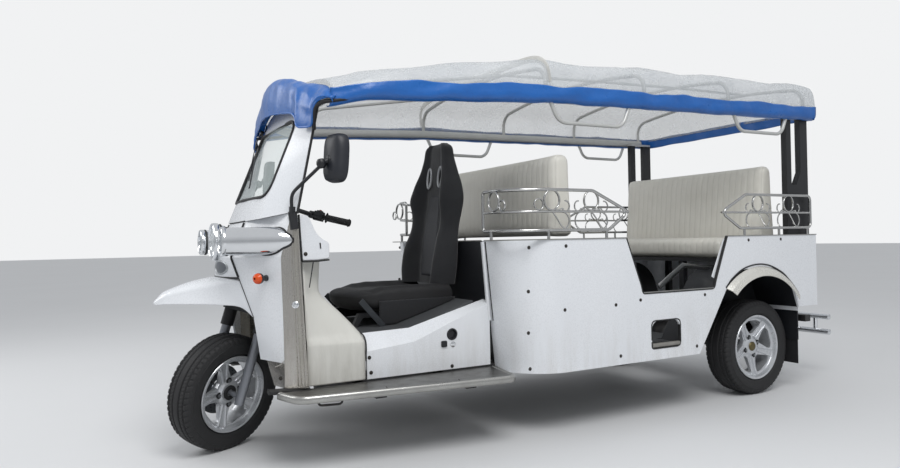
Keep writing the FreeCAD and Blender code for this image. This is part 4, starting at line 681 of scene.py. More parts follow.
def bucket_back(count=150, rows=120):
    """At each height a closed section; its front stands forward by a smooth step in |y|/W, so the wings wrap."""
    z, half, wing, rear, front = back_rows(rows)[:, :, None]
    a = turn_steps(count)[None]
    s = np.sin(a)
    side = power(np.cos(a), 0.62)
    y = half * side
    thick = np.abs(s) ** 0.5
    middle = rear + 0.03
    ahead = front + (wing - front) * smooth((np.abs(side) - 0.42) / 0.4)
    x = np.where(s > 0, middle + (ahead - middle) * thick, middle - 0.03 * thick)
    x = x + 0.002 * ripple(y, z, 0.16, 41) * (s > 0)
    return np.stack([x, y, z + 0 * x], -1)


def make_bucket():
    """Back of the driver's seat, pierced by two oval harness slots with a bezel round each."""
    made = piece("driver_bucket_back", [grid(bucket_back(), wrap_v=True, caps=True)], black_cloth,
                 "black_vinyl", replaces="driver_seat_back", sharp=50)
    # Each slot is an oval prism along X
    points, faces = turned([(-0.2, 0), (-0.2, 1), (0.25, 1), (0.25, 0)], (0, 0, 0), X, 32)
    slots = [(points * (1, 0.019, 0.05) + (0.62, y, SLOT_HIGH), faces) for y in (SLOT_OUT, -SLOT_OUT)]
    cutter = piece("slot_cutter", slots, black_cloth, "black_vinyl")
    hole = made.modifiers.new("slots", "BOOLEAN")
    hole.object = cutter
    hole.solver = "EXACT"
    settled(made)
    made.data.set_sharp_from_angle(angle=math.radians(50))
    bpy.data.objects.remove(cutter)
    # Slot bezels: an oval path leaning with the back
    a = turn_steps(48)
    rings = []
    for y in (SLOT_OUT, -SLOT_OUT):
        path = np.stack([0.6165 - 0.006 * np.sin(a), y + 0.022 * np.cos(a), SLOT_HIGH + 0.054 * np.sin(a)],
                        -1)
        rings.append(bar(path, 0.011, 0.011, up=(1, 0, 0.1), loop=True))
    piece("harness_slot_bezels", rings, bezel_grey, "black_plastic")


def make_seat_middle():
    """Middle panel: a thin pad that follows the back between its wings, its rims drawn in."""
    z, *_, front = back_rows(200)[:, 8:120, None]
    v = np.linspace(-1, 1, 40)[None]
    width = np.interp(z, (0.75, 1.0, 1.21), (0.088, 0.082, 0.05))
    edge = np.clip((1 - np.abs(v)) * 6, 0, 1) * np.clip((z - z.min()) * 60, 0, 1)
    edge = edge * np.clip((z.max() - z) * 60, 0, 1)
    points = np.stack([front + 0.009 * np.sqrt(edge) - 0.005 + 0 * v, width * v, z + 0 * v], -1)
    panel = piece("driver_seat_middle", [grid(points)], grey_leatherette, "black_vinyl", wall=0.004)


def make_cushion():
    """Stations from back to front, each |y|, |z| section dished between bolsters; the front edge rolls."""
    x = np.linspace(0.646, 1.27, 120)[:, None]
    a = turn_steps(140)[None]
    s = np.sin(a)
    side = power(np.cos(a), 0.5)
    roll = np.sqrt(np.clip(1 - ((x - 1.16) / 0.11).clip(0, 1) ** 2, 0.0, 1))
    tail = np.sqrt(np.clip(1 - ((0.66 - x) / 0.016).clip(0, 1) ** 2, 0.1, 1))
    middle = 0.672 + 0.008 * np.clip((x - 1.1) / 0.1, 0, 1)
    top = np.interp(x, (0.646, 1.05, 1.2), (0.702, 0.706, 0.712))
    bolster = np.interp(x, (0.646, 0.98, 1.1, 1.19), (0.739, 0.74, 0.733, 0.709))
    high = top + (bolster - top) * smooth((np.abs(side) - 0.5) / 0.36)
    thick = np.abs(s) ** 0.45 * roll * tail
    z = np.where(s > 0, middle + (high - middle) * thick, middle - (middle - 0.607) * thick)
    y = np.interp(x, (0.646, 0.8, 1.05, 1.27), (0.228, 0.243, 0.238, 0.225)) * side * (0.86 + 0.14 * roll)
    z = z + 0.0012 * ripple(x, y, 0.14, 43) * (s > 0)
    # Front corners drawn back, so that the middle leads
    lead = x - (0.055 + 0.1 * (np.abs(y) / 0.24) ** 2) * np.clip((x - 0.9) / 0.37, 0, 1)
    points = np.stack([lead, y, z], -1)
    cushion = piece("driver_cushion", [grid(points, wrap_v=True, caps=True)], worn_cloth, "black_vinyl",
                    replaces="driver_seat_cushion", sharp=60)


def make_seat_sides():
    """Side valances from the cushion down to the deck, bulged by 4 mm·sin, and a steel stay on each side."""
    run, drop = np.linspace(0, 1, 40)[:, None], np.linspace(0, 1, 14)[None]
    x = 0.64 + 0.42 * run + 0 * drop
    deck = np.interp(x, (0.62, 0.975, 1.214), (0.648, 0.54, 0.535)) + 0.004
    z = 0.66 * (1 - drop) + np.minimum(deck, 0.655) * drop
    y = 0.2425 + 0.004 * np.sin(math.pi * run) - 0.008 * drop ** 2 + 0 * x
    piece("driver_seat_valances", both([grid(np.stack([x, y, z], -1))]), black_cloth, "black_vinyl",
          wall=0.003)
    stays = bar([(1.16, 0.2515, 0.668), (1.1, 0.2515, 0.6), (1.045, 0.2515, 0.538)], 0.03, 0.005, 4, 12, Y)
    piece("driver_seat_stays", both([stays]), stay_steel, "frame_black")


make_benches()
make_bucket()
make_seat_middle()
make_cushion()
make_seat_sides()


# Wheels

# Fittings: bolts, the wells round them in painted shade, the rear wheels' caps and the brake disc
bolt_steel = surface("zinc_plated_steel", ("#8D9092", "#6E7173"), (0.35, 0.5), 0.9, patch=0.02, grain=0.0008)
painted_shade_well = surface("shadowed_bolt_well", ("#121315", "#1B1C1E"), (0.6, 0.8), patch=0.02, grain=0.001)
cap_bronze = surface("lacquered_bronze_cap", ("#756A48", "#5A5138"), (0.3, 0.42), 0.75, patch=0.03,
                     grain=0.001)
disc_steel = surface("turned_disc_steel", ("#77797B", "#56585A"), (0.3, 0.45), 0.95, patch=0.04, grain=0.0008,
                     relief=0.0001)

# Half of the tread's breadth as a share of the tyre's width
TREAD = 0.385
# Where each wheel stands; the right one is turned so that its face looks outwards
STAND = {"front": STEERED, "rear_left": np.array(Matrix.Translation((-1.2, 0.56, 0.28))),
         "rear_right": np.array(Matrix.Translation((-1.2, -0.56, 0.28)) @ Matrix.Rotation(math.pi, 4, "Z"))}


def on_wheel(label, name, parts, material, slot, **more):
    """A piece that rides a wheel, from parts drawn about the axle."""
    piece(label + name, [placed(part, STAND[label]) for part in parts], material, slot, body=label + "_wheel",
          **more)


def tyre_section(radius, width, rim):
    """Closed section of (across, out): crowned tread, round shoulders, bulged walls, beads under flanges."""
    w = width
    a = np.linspace(-TREAD, TREAD, 68) * w
    tread = np.stack([a, radius - 0.0035 * (a / (TREAD * w)) ** 2], -1)
    wall = spline([(TREAD * w, radius - 0.0035), (0.45 * w, radius - 0.011), (0.488 * w, radius - 0.034),
                   (0.5 * w, 0.62 * radius + 0.38 * rim), (0.487 * w, rim + 0.03), (0.462 * w, rim + 0.012),
                   (0.44 * w - 0.0083, rim + 0.0015)], 21)[1:]
    # Two moulded ribs round the wall
    place = np.linspace(0, 1, 20)
    wall[:, 0] += 0.0011 * (np.exp(-((place - 0.26) / 0.03) ** 2) + np.exp(-((place - 0.78) / 0.03) ** 2))
    inner = np.array([(0.33 * w, rim - 0.0075), (-0.33 * w, rim - 0.0075)])
    return np.vstack([tread, wall, inner, wall[::-1] * (-1, 1)])


def make_tyre(label, radius, width, rim):
    """Section turned about the axle, pressed in by grooves round the tread and slanted shoulder cuts."""
    section = tyre_section(radius, width, rim)
    turn = turn_steps(400)[:, None]
    a, out = section[:, 0][None], section[:, 1][None]
    share = np.abs(a) / width
    depth = 0
    for place in (0.13, 0.31):
        depth = np.maximum(depth, 0.006 * np.clip(2.2 - np.abs(share - place) * width / 0.0024, 0, 1))
    phase = turn / TAU * 60 + np.sign(a) * 0.5 + a / width * 1.6
    cut = np.clip(1.25 - np.abs(np.mod(phase, 1) - 0.5) / 0.14, 0, 1)
    depth = np.maximum(depth, 0.0055 * cut * np.clip((share - 0.335) * 60, 0, 1) * (out > radius - 0.024))
    phase = turn / TAU * 100 + a / width * 3
    fine = np.clip(1.2 - np.abs(np.mod(phase, 1) - 0.5) / 0.16, 0, 1)
    fine = fine * np.clip((0.335 - share) * 60, 0, 1) * np.clip((share - 0.15) * 90, 0, 1)
    depth = np.maximum(depth, 0.003 * fine)
    reach = out - depth
    points = np.stack([np.sin(turn) * reach, a + 0 * reach, np.cos(turn) * reach], -1)
    on_wheel(label, "_tyre_tread", [grid(points, wrap_u=True, wrap_v=True)], tyre_rubber, "tyre",
             replaces=label + "_tyre", sharp=35)


def make_wheel_trim(label, width, rim, cap):
    """Two ridges down each spoke, four bolts in wells of painted shade, and a domed cap, all on the rim's face."""
    face = 0.3 * width
    t = np.linspace(0, 1, 12)
    out = 0.058 + (rim - 0.082) * t
    high = np.interp(out, (0.045, 0.06, rim - 0.02), (face - 0.012, face - 0.022, face)) + 0.0012
    ridges = []
    for lean in np.radians(36 + 72 * np.arange(5)):
        c, s = np.cos(lean), np.sin(lean)
        for side in (1, -1):
            across = side * (0.011 + 0.010 * t ** 1.5)
            path = np.stack([s * out + c * across, high, c * out - s * across], -1)
            ridges.append(bar(path, 0.013, 0.008, 2.4, 14, Y))
    edge = 0.44 * width
    lip = turned([(edge - 0.001, rim - 0.011), (edge + 0.0016, rim - 0.0085), (edge + 0.0016, rim - 0.001),
                  (edge - 0.001, rim + 0.001)], (0, 0, 0), Y, 96)
    on_wheel(label, "_spoke_ridges", ridges + [lip], wheel_silver, "wheel_silver", sharp=50)
    wells, bolts = [], []
    for lean in np.radians(20 + 90 * np.arange(4)):
        spot = (np.sin(lean) * 0.056, face - 0.0185, np.cos(lean) * 0.056)
        wells.append(turned([(0.0, 0.001), (0.0008, 0.0145), (0.003, 0.0155), (0.0042, 0.0145),
                             (0.0036, 0.001)], spot, Y, 24))
        bolts.append(turned([(0.003, 0.0085), (0.0095, 0.0085), (0.0105, 0.0072), (0.0105, TIP)], spot, Y, 6))
    on_wheel(label, "_bolt_wells", wells, painted_shade_well, "black_plastic")
    on_wheel(label, "_bolts", bolts, bolt_steel, "fork_alloy", sharp=30)
    # A ring of painted shade round the bare axle end in front, a closed dome behind
    dome = [(-0.014, 0.027), (-0.0095, 0.0275), (-0.007, 0.0255), (-0.0035, 0.022), (-0.001, 0.015), (0, TIP)]
    ring = [(-0.0115, 0.0165), (-0.0115, 0.034), (-0.007, 0.0345), (-0.0055, 0.0325), (-0.006, 0.0165)]
    centre = turned(ring if label == "front" else dome, (0, face, 0), Y, 40)
    on_wheel(label, "_centre_cap", [centre], cap, "wheel_silver")
    # Valve stem through the rim
    c, s = np.cos(math.radians(72)), np.sin(math.radians(72))
    stem = turned([(0, 0.003), (0.03, 0.003), (0.031, 0.0042), (0.041, 0.0042), (0.042, TIP)],
                  (s * (rim - 0.03), face - 0.03, c * (rim - 0.03)), (-0.3 * s, 1, -0.3 * c), 12)
    on_wheel(label, "_valve", [stem], soft_rubber, "black_rubber")


def make_front_brake():
    """Drilled disc on the hub's far side, and the caliper that the fork leg carries over its rear edge."""
    disc = turned([(-0.0405, 0.05), (-0.0405, 0.114), (-0.0395, 0.115), (-0.0365, 0.115), (-0.0355, 0.114),
                   (-0.0355, 0.05)], (0, 0, 0), Y, 96)
    holes = []
    for ring, out in enumerate((0.078, 0.09, 0.102)):
        for k in range(18):
            lean = TAU * (k + ring / 3) / 18
            holes.append(turned([(0, TIP), (0.0002, 0.0033), (0.0008, 0.0033), (0.001, TIP)],
                                (np.sin(lean) * out, -0.0356, np.cos(lean) * out), Y, 8))
    on_wheel("front", "_brake_disc", [disc], disc_steel, "fork_alloy")
    # The drilled holes are dark discs of painted shade on the disc's face
    on_wheel("front", "_disc_holes", holes, painted_shade_well, "black_plastic")
    a = np.linspace(math.radians(235), math.radians(285), 14)
    line = np.stack([np.sin(a) * 0.099, -0.0605 + 0 * a, np.cos(a) * 0.099], -1)
    caliper = bar(line, 0.044, 0.026, 3.5, 20, Y)
    piston = turned([(-0.014, 0.001), (-0.014, 0.015), (0, 0.017), (0.002, 0.001)], (-0.096, -0.073, -0.017),
                    Y, 20)
    arm = bar([(-0.09, -0.07, -0.01), (-0.06, -0.085, -0.005), (-0.025, -0.1, 0.0)], 0.03, 0.012, 3, 14, Y)
    piece("front_brake_caliper", [placed(part, STEERED) for part in (caliper, piston, arm)], black_paint,
          "frame_black", body="steering")


# Wheel, radius and width of its tyre, radius of its rim, centre cap
# The front wheel's centre cap takes the painted shade of the bolt wells
for label, radius, width, rim, cap in (("front", 0.2665, 0.15, 0.178, painted_shade_well),
                                       ("rear_left", 0.28, 0.165, 0.19, cap_bronze),
                                       ("rear_right", 0.28, 0.165, 0.19, cap_bronze)):
    make_tyre(label, radius, width, rim)
    make_wheel_trim(label, width, rim, cap)
make_front_brake()


# Front end

lamp_rubber = surface("black_lamp_rubber", ("#141516", "#202122"), (0.45, 0.65), patch=0.04, grain=0.0012)
badge_metal = surface("plain_cast_roundel", ("#B9BCBE", "#8C9093"), (0.25, 0.4), 0.9, patch=0.01, grain=0.001,
                      relief=0.0002)
badge_enamel = surface("plain_grey_enamel", ("#55595F", "#6B6F75"), (0.25, 0.4), 0.3, patch=0.02, grain=0.001)


# Middle of the left side lamp's mouth; the round lamp stands between the two at the same place along X and Z
LAMP_X, LAMP_Y, LAMP_Z = 1.795, 0.262, 0.961


def cowl_edges(z):
    """Front and rear edges of the left cowl in plan at a height: (x, y) each, from the panel's own lines."""
    tall = (0.44, 0.62, 0.79, 0.89, 1.051)
    front = (np.interp(z, tall, (1.639, 1.663, 1.712, 1.741, 1.676)),
             np.interp(z, tall, (0.26, 0.25, 0.2, 0.172, 0.16)))
    tall = (0.44, 0.62, 0.79, 0.89, 1.081)
    rear = (np.interp(z, tall, (1.58, 1.582, 1.586, 1.588, 1.542)),
            np.interp(z, tall, (0.43, 0.43, 0.43, 0.43, 0.436)))
    return front, rear


def cab_corner(z):
    """Rear edge of the left corner plate in plan at a height: (x, y)."""
    fall = (z - 0.334) / 0.75
    return 1.49 + 0.031 * fall, 0.478 - 0.028 * fall


def lamp_shell(s, a):
    """Left lamp's shell at a place along it and a turn: x(s), y(s) + r(s)·cos a, z + r(s)·sin a."""
    rows = spline([(LAMP_X, LAMP_Y, 0.0602), (1.72, 0.3055, 0.0604), (1.655, 0.3435, 0.0606),
                   (1.61, 0.37, 0.0588), (1.58, 0.3855, 0.0548), (1.555, 0.398, 0.0475),
                   (1.535, 0.407, 0.0375), (1.522, 0.413, 0.022)], 400)
    x, y, r = (np.interp(s, np.linspace(0, 1, 400), rows[:, k]) for k in range(3))
    return np.stack([x + 0 * a, y + r * np.cos(a), LAMP_Z + r * np.sin(a)], -1)


def lamp_root():
    """Closed line where the lamp's shell meets the cab: the last s outside the skin, for each turn."""
    a = turn_steps(120)[:, None]
    s = np.linspace(0, 1, 700)[None]
    points = lamp_shell(s, a)
    x, y, z = points[..., 0], points[..., 1], points[..., 2]
    front, rear = cowl_edges(z)
    corner = cab_corner(z)
    near = rear[1] + (front[1] - rear[1]) * (x - rear[0]) / (front[0] - rear[0])
    far = rear[1] + (corner[1] - rear[1]) * (x - rear[0]) / (corner[0] - rear[0])
    skin = np.where(x > rear[0], near, far)
    hidden = (y < skin) & (x < front[0])
    at = np.where(hidden.any(1), hidden.argmax(1), 699)
    line = points[np.arange(len(at)), at]
    for _ in range(4):
        line = (np.roll(line, 1, 0) + 2 * line + np.roll(line, -1, 0)) / 4
    return line


def make_lamp_shells():
    """Swept chrome bullets on both sides and the round pod between them."""
    s = np.linspace(0, 1, 70)[:, None]
    bullet = grid(lamp_shell(s, turn_steps(60)[None]), wrap_v=True)
    pod = [(1.7, 0.052), (1.715, 0.06), (1.735, 0.0742), (1.757, 0.0802), (1.768, 0.0806)]
    piece("lamp_shells", both([bullet]) + [turned(pod, (0, 0, LAMP_Z), X, 80)], chrome, "chrome",
          replaces="headlamps", sharp=60, wall=0.002)


def make_mudguard_beak():
    """Sides and crown over stations; each is a smooth line from edge over shoulder and crown to edge."""
    # Edge, shoulder and crown of each station: x, y, z
    rows = np.array([((2.04, 0.022, 0.687), (2.041, 0.018, 0.696), (2.042, 0, 0.703)),
                     ((2.012, 0.056, 0.689), (2.014, 0.046, 0.71), (2.016, 0, 0.731)),
                     ((1.985, 0.074, 0.69), (1.987, 0.062, 0.72), (1.988, 0, 0.748)),
                     ((1.9, 0.128, 0.688), (1.9, 0.108, 0.742), (1.9, 0, 0.779)),
                     ((1.797, 0.172, 0.682), (1.808, 0.152, 0.762), (1.814, 0, 0.797)),
                     ((1.712, 0.207, 0.669), (1.764, 0.178, 0.778), (1.777, 0, 0.8)),
                     ((1.6635, 0.248, 0.622), (1.732, 0.196, 0.785), (1.757, 0, 0.8)),
                     ((1.662, 0.2495, 0.618), (1.7125, 0.2012, 0.789), (1.74, 0, 0.7985))])
    along = np.stack([spline(rows[:, k], 90) for k in range(3)], 1)
    u = np.linspace(0, 1, 14)[:, None, None]
    edge, shoulder, crown = along[:, 0], along[:, 1], along[:, 2]
    knee = shoulder + (shoulder - edge) * 0.16 + (0, 0, 0.002)
    side = edge + (shoulder - edge) * 0.97 * u
    v = np.linspace(0, 1, 18)[:, None, None]
    top = (1 - v) ** 2 * side[-1] + 2 * v * (1 - v) * (knee * (1, 1, 0) + crown * Z) + v ** 2 * crown
    half = np.vstack([side, top[1:]])
    whole = np.vstack([half, half[-2::-1] * (1, -1, 1)])
    points = whole.transpose(1, 0, 2)
    nose = spline([(2.04, 0.022, 0.687), (2.048, 0.0, 0.6905), (2.04, -0.022, 0.687)], len(whole))
    lip = grid(np.stack([points[0], nose * 0.5 + points[0] * 0.5 + (0.002, 0, 0), nose], 0))
    piece("mudguard_beak", [grid(points), lip], white_paint, "white_paint", replaces="front_mudguard",
          sharp=44, wall=0.004)


def make_front_seals():
    """Rubber strips between nose, cowls and mudguard, under the screen frame, and round the lamps' roots."""
    z = np.linspace(0.8, 1.045, 30)
    front, _ = cowl_edges(z)
    seam = bar(np.stack([front[0] + 0.002, front[1] + 0.003, z], -1), 0.009, 0.007, up=Y)
    root = carried(lamp_root(), circle(0.0052, 10), loop=True)
    piece("front_seals", both([seam, root]), soft_rubber, "black_rubber")
    # Thin gap line down the joint of mudguard and cowl
    z = np.linspace(0.622, 0.796, 30)
    front, _ = cowl_edges(z)
    gap = bar(np.stack([front[0] + 0.0005, front[1] + 0.0015, z], -1), 0.0032, 0.003, 3, 8, Y)
    piece("cowl_gaps", both([gap]), soft_rubber, "black_rubber")
    # Strip between the nose panel and the mudguard's crown
    y = np.linspace(-0.195, 0.195, 50)
    under = np.stack([1.774 - 0.0595 * (y / 0.1975) ** 2, y, 0.7985 + 0 * y], -1)
    piece("nose_foot_seal", [bar(under, 0.01, 0.009)], soft_rubber, "black_rubber")
    # Seam line below the screen frame
    y = np.linspace(-0.45, 0.45, 90)
    x = 0.002 + np.interp(np.abs(y), (0, 0.08, 0.16, 0.3, 0.436, 0.45),
                          (1.693, 1.689, 1.675, 1.607, 1.541, 1.53))
    brow = np.stack([x, y, 1.048 + 0.22 * (1.69 - x) + 0.001], -1)
    piece("screen_foot_seam", [bar(spline(brow[::3], 120), 0.007, 0.006, 3, 10)], soft_rubber, "black_rubber")


def make_lamp_trim():
    """Rolled chrome bezels with a rubber ring behind each, and ribbed glass inside."""
    # Profiles of (along, out): bezel, rubber ring and glass of a side lamp
    bezel = [(-0.012, 0.0605), (-0.008, 0.0625), (0.002, 0.0635), (0.008, 0.062), (0.011, 0.058),
             (0.009, 0.0545), (0.001, 0.0525), (-0.006, 0.053)]
    ring = [(-0.021, 0.0602), (-0.019, 0.0634), (-0.012, 0.0634), (-0.01, 0.0602)]
    pane = [(-0.004, 0.0525), (0.0005, 0.045), (0.0035, 0.03), (0.005, TIP)]
    spots = [(LAMP_X, y, LAMP_Z) for y in (LAMP_Y, -LAMP_Y)]
    bezels = [turned(bezel, spot, X, 72) for spot in spots]
    rubbers = [turned(ring, spot, X, 72) for spot in spots]
    glass = [turned(pane, spot, X, 56) for spot in spots]
    # The same of the round lamp
    bezel = [(-0.034, 0.0812), (-0.028, 0.087), (-0.012, 0.0885), (-0.003, 0.0865), (0.001, 0.081),
             (-0.002, 0.076), (-0.01, 0.0735), (-0.02, 0.073)]
    ring = [(-0.043, 0.0802), (-0.041, 0.0838), (-0.035, 0.0838), (-0.033, 0.0802)]
    pane = [(-0.01, 0.0735), (-0.004, 0.064), (0.001, 0.042), (0.003, TIP)]
    middle = (LAMP_X, 0, LAMP_Z)
    bezels.append(turned(bezel, middle, X, 84))
    rubbers.append(turned(ring, middle, X, 84))
    glass.append(turned(pane, middle, X, 72))
    piece("lamp_bezels", bezels, chrome, "chrome")
    piece("lamp_rings", rubbers, lamp_rubber, "black_rubber")
    piece("lamp_glasses", glass, lamp_glass, "lens", replaces="headlamp_lenses")
    # Reflectors: parabolas x = x0 + r^2 / 4f behind each glass
    r = np.linspace(TIP, 0.052, 14)
    bowl = np.stack([-0.034 + r ** 2 / 0.1, r], -1)
    bulb = [(0, 0.006), (0.018, 0.006), (0.024, 0.0035), (0.025, TIP)]
    bowls = [turned(bowl, spot, X, 48) for spot in spots]
    bulbs = [turned(bulb, (x - 0.032, y, z), X, 20) for x, y, z in spots]
    r = np.linspace(TIP, 0.072, 16)
    bowls.append(turned(np.stack([-0.057 + r ** 2 / 0.12, r], -1), middle, X, 60))
    bulb = [(0, 0.008), (0.026, 0.008), (0.033, 0.005), (0.035, TIP)]
    bulbs.append(turned(bulb, (LAMP_X - 0.053, 0, LAMP_Z), X, 20))
    piece("lamp_reflectors", bowls, chrome, "chrome", outward=False)
    piece("lamp_bulbs", bulbs, lamp_glass, "lens")


def make_indicators():
    """Bulb housing and stalk in black, amber lens with rings in front, along the stalk's own line."""
    lenses, bases = [], []
    for side in (1, -1):
        way = np.array((0.872, 0.489 * side, 0))
        spot = np.array((1.63, 0.351 * side, 0.801))
        bases.append(turned([(-0.024, TIP), (-0.024, 0.0135), (0.004, 0.0135), (0.012, 0.011),
                             (0.022, 0.0105), (0.027, 0.017), (0.036, 0.0225), (0.046, 0.0235), (0.046, TIP)],
                            spot, way, 32))
        t = np.linspace(0, 1, 26)
        out = 0.0225 * np.sqrt(np.clip(1 - (t * 0.985) ** 3.2, 0, 1)) * (1 - 0.02 * np.sin(t * 40) ** 2)
        lenses.append(turned(np.stack([0.046 + 0.021 * t, np.maximum(out, TIP)], -1), spot, way, 40))
    piece("indicator_bases", bases, black_plastic, "black_plastic", replaces="front_indicators")
    piece("indicator_lenses", lenses, amber_lens, "amber", replaces="front_indicators")


def screen_x(y, z):
    """Screen frame's front surface: a straight fall with height, bowed back by the square of y."""
    middle = np.interp(z, (1.056, 1.6), (1.686, 1.46))
    edge = np.interp(z, (1.056, 1.6), (1.652, 1.43))
    return middle - (middle - edge) * (y / 0.33) ** 2


def make_screen_trim():
    """Rubber seal round the glass, a wiper with its arm, and the pivot."""
    corners = [(0, 1.155), (0.325, 1.155), (0.318, 1.5), (-0.318, 1.5), (-0.325, 1.155), (0, 1.155)]
    y, z = bent(corners, 0.075, 14)[:-1].T
    path = np.stack([screen_x(y, z) - 0.001, y, z], -1)
    piece("screen_seal", [bar(path, 0.014, 0.016, 3, 14, (1, 0, 0.4), loop=True)], soft_rubber,
          "black_rubber")
    # Wiper: arm from a pivot above the glass down over it
    # Y, Z and lift off the screen of each point
    arm = np.array([(-0.262, 1.52, 0.012), (-0.245, 1.485, 0.024), (-0.16, 1.38, 0.017),
                    (-0.02, 1.255, 0.011)]).T
    blade = np.array([(-0.225, 1.435, 0.004), (-0.12, 1.345, 0.004), (0.03, 1.215, 0.004)]).T
    arm, blade = (np.stack([screen_x(y, z) + lift, y, z], -1) for y, z, lift in (arm, blade))
    pivot = turned([(-0.004, 0.001), (-0.004, 0.016), (0.012, 0.014), (0.016, 0.001)], arm[0],
                   (0.92, 0, 0.38), 20)
    parts = [bar(spline(arm, 40), 0.009, 0.005, 3, 10, X), bar(spline(blade, 40), 0.006, 0.013, 3, 10, Y),
             pivot]
    piece("screen_wiper", parts, black_plastic, "black_plastic")


def make_badge():
    """Plain ringed oval on the nose: x = nose(y) + height(r), with r counted in half-widths from its middle."""
    field = [(0.82, 0.0022), (0.7, 0.0032), (0.5, 0.0042), (0.25, 0.0048), (0.003, 0.005)]
    ring = [(1.04, -0.001), (1.03, 0.0025), (0.99, 0.0048), (0.93, 0.0052), (0.87, 0.0042), (0.82, 0.0018)]
    a = turn_steps(72)[None]
    for name, rows, material in (("nose_roundel", ring, badge_metal),
                                 ("nose_roundel_field", field, badge_enamel)):
        r, high = np.array(rows).T[:, :, None]
        y = 0.06 + 0.079 * r * np.cos(a)
        z = 0.8435 + 0.0315 * r * np.sin(a)
        nose = 1.7735 - 0.0461 * (y / 0.185) ** 2
        piece(name, [grid(np.stack([nose + high, y, z], -1), wrap_v=True)], material, "chrome", sharp=50)


make_mudguard_beak()
make_front_seals()
make_lamp_shells()
make_lamp_trim()
make_indicators()
make_screen_trim()
make_badge()


# Sides, rails and boards

screw_dark = surface("blackened_screw", ("#2C2A28", "#45413C"), (0.4, 0.6), 0.6, patch=0.01, grain=0.0006)
trim_black = surface("rubber_edge_trim", ("#1A1A1B", "#262627"), (0.5, 0.75), patch=0.03, grain=0.001)
bright_edge = surface("polished_nosing", ("#BDBDBA", "#8E8D89"), (0.22, 0.4), 0.9, patch=0.1, grain=0.001,
                      stretch=(0.2, 1, 1))
step_plate = surface("worn_step_plate", ("#77777A", "#4A4A4C"), (0.45, 0.7), 0.5, patch=0.05, grain=0.0012)
worn_tread = surface("worn_aluminium_tread", ("#A3A19C", "#7F7D78"), (0.4, 0.6), 0.6, patch=0.04,
                     grain=0.0012)


# Planes of the body side's trims, of its top cap and of the rails above it, and of the sill below the cab
FACE, CAP, RAIL, SILL = 0.704, 0.705, 0.702, 0.4505
# Height of the side panel's top
PANEL_TOP = 0.9445


def arc(middle, radius, start, end, plane="y", count=28, tall=1.0):
    """Points of centre + radius (cos a, tall sin a) for a from start to end degrees, in an upright plane."""
    a = np.radians(np.linspace(start, end, count))
    along, up = radius * np.cos(a), tall * radius * np.sin(a)
    if plane == "y":
        return np.stack([middle[0] + along, middle[1] + 0 * a, middle[2] + up], -1)
    return np.stack([middle[0] + 0 * a, middle[1] + along, middle[2] + up], -1)


def make_rail_scrolls():
    """Flat rings between the bars, C scrolls at their feet and wide loops below the middle bar."""
    band = rounded_box(0.0075, 0.012, 3, 12)
    rod = circle(0.0037, 8)
    rings, scrolls = [], []
    for x in (0.359, 0.116, -1.141, -1.422):
        rings.append(carried(arc((x, RAIL, 1.1325), 0.0455, 0, 353, count=44, tall=1.05), band, up=Y,
                             loop=True))
        # Way along the rail; first and last angle of the curl and of the loop's side
        for way, curl_start, curl_end, loop_start, loop_end in ((1, 100, -150, 88, -88),
                                                                (-1, 80, 330, 92, 268)):
            if x == 0.359 and way == 1:
                continue
            # Curl: out from the ring's foot, round its own centre
            curl = arc((x + 0.083 * way, RAIL, 1.1045), 0.0225, curl_start, curl_end, count=30, tall=1.12)
            tail = np.array([(x + 0.022 * way, RAIL, 1.0825)])
            scrolls.append(carried(spline(np.vstack([tail, curl[::-1]]), 44), rod, up=Y))
            # Side of the wide loop below
            side = arc((x + 0.062 * way, RAIL, 1.033), 0.041, loop_start, loop_end, count=24, tall=1.04)
            scrolls.append(carried(side, rod, up=Y))
        wave = [(x - 0.005, RAIL, 1.074), (x - 0.03, RAIL, 1.045), (x - 0.055, RAIL, 1.01),
                (x - 0.072, RAIL, 0.996)]
        scrolls.append(carried(spline(wave, 20), rod, up=Y))
    rings.append(carried(arc((0.436, RAIL, 1.1115), 0.0265, 0, 350, count=30), band * 0.8, up=Y, loop=True))
    rings.append(carried(arc((0.582, 0.538, 1.1315), 0.046, 0, 353, "x", 44), band, up=X, loop=True))
    rings.append(carried(arc((0.582, 0.611, 1.109), 0.0245, 0, 350, "x", 30), band * 0.8, up=X, loop=True))
    piece("rail_rings", both(rings), rail_steel, "stainless", sharp=50)
    piece("rail_scrolls", both(scrolls), rail_steel, "stainless")


def screw(spot, way=Y, size=0.0065):
    """A pan-headed screw: a low dome over a flat washer."""
    return turned([(-0.001, size * 1.35), (0.0008, size * 1.35), (0.0012, size), (0.003, size * 0.85),
                   (0.004, size * 0.4), (0.0041, 0.0004)], spot, way, 16)


def make_screws():
    """Screws on the sides, cheeks, sills and corner plates where the photo shows them."""
    side = [(0.503, 0.908), (0.285, 0.911), (0.511, 0.704), (0.515, 0.512), (0.51, 0.345), (0.299, 0.605),
            (-0.025, 0.609), (-0.193, 0.624), (-1.043, 0.919), (-1.333, 0.92), (-0.671, 0.625), (-0.05, 0.35),
            (-0.6, 0.35)]
    heads = [screw((x, 0.7102, z)) for x, z in side]
    heads += [screw((1.202, SILL, 0.43)), screw((1.195, SILL, 0.362)), screw((0.779, SILL, 0.348)),
              screw((1.479, 0.4255, 0.901)), screw((1.598, 0.4335, 0.38), (0.44, 0.9, 0))]
    piece("panel_screws", both(heads), screw_dark, "black_plastic", sharp=30)


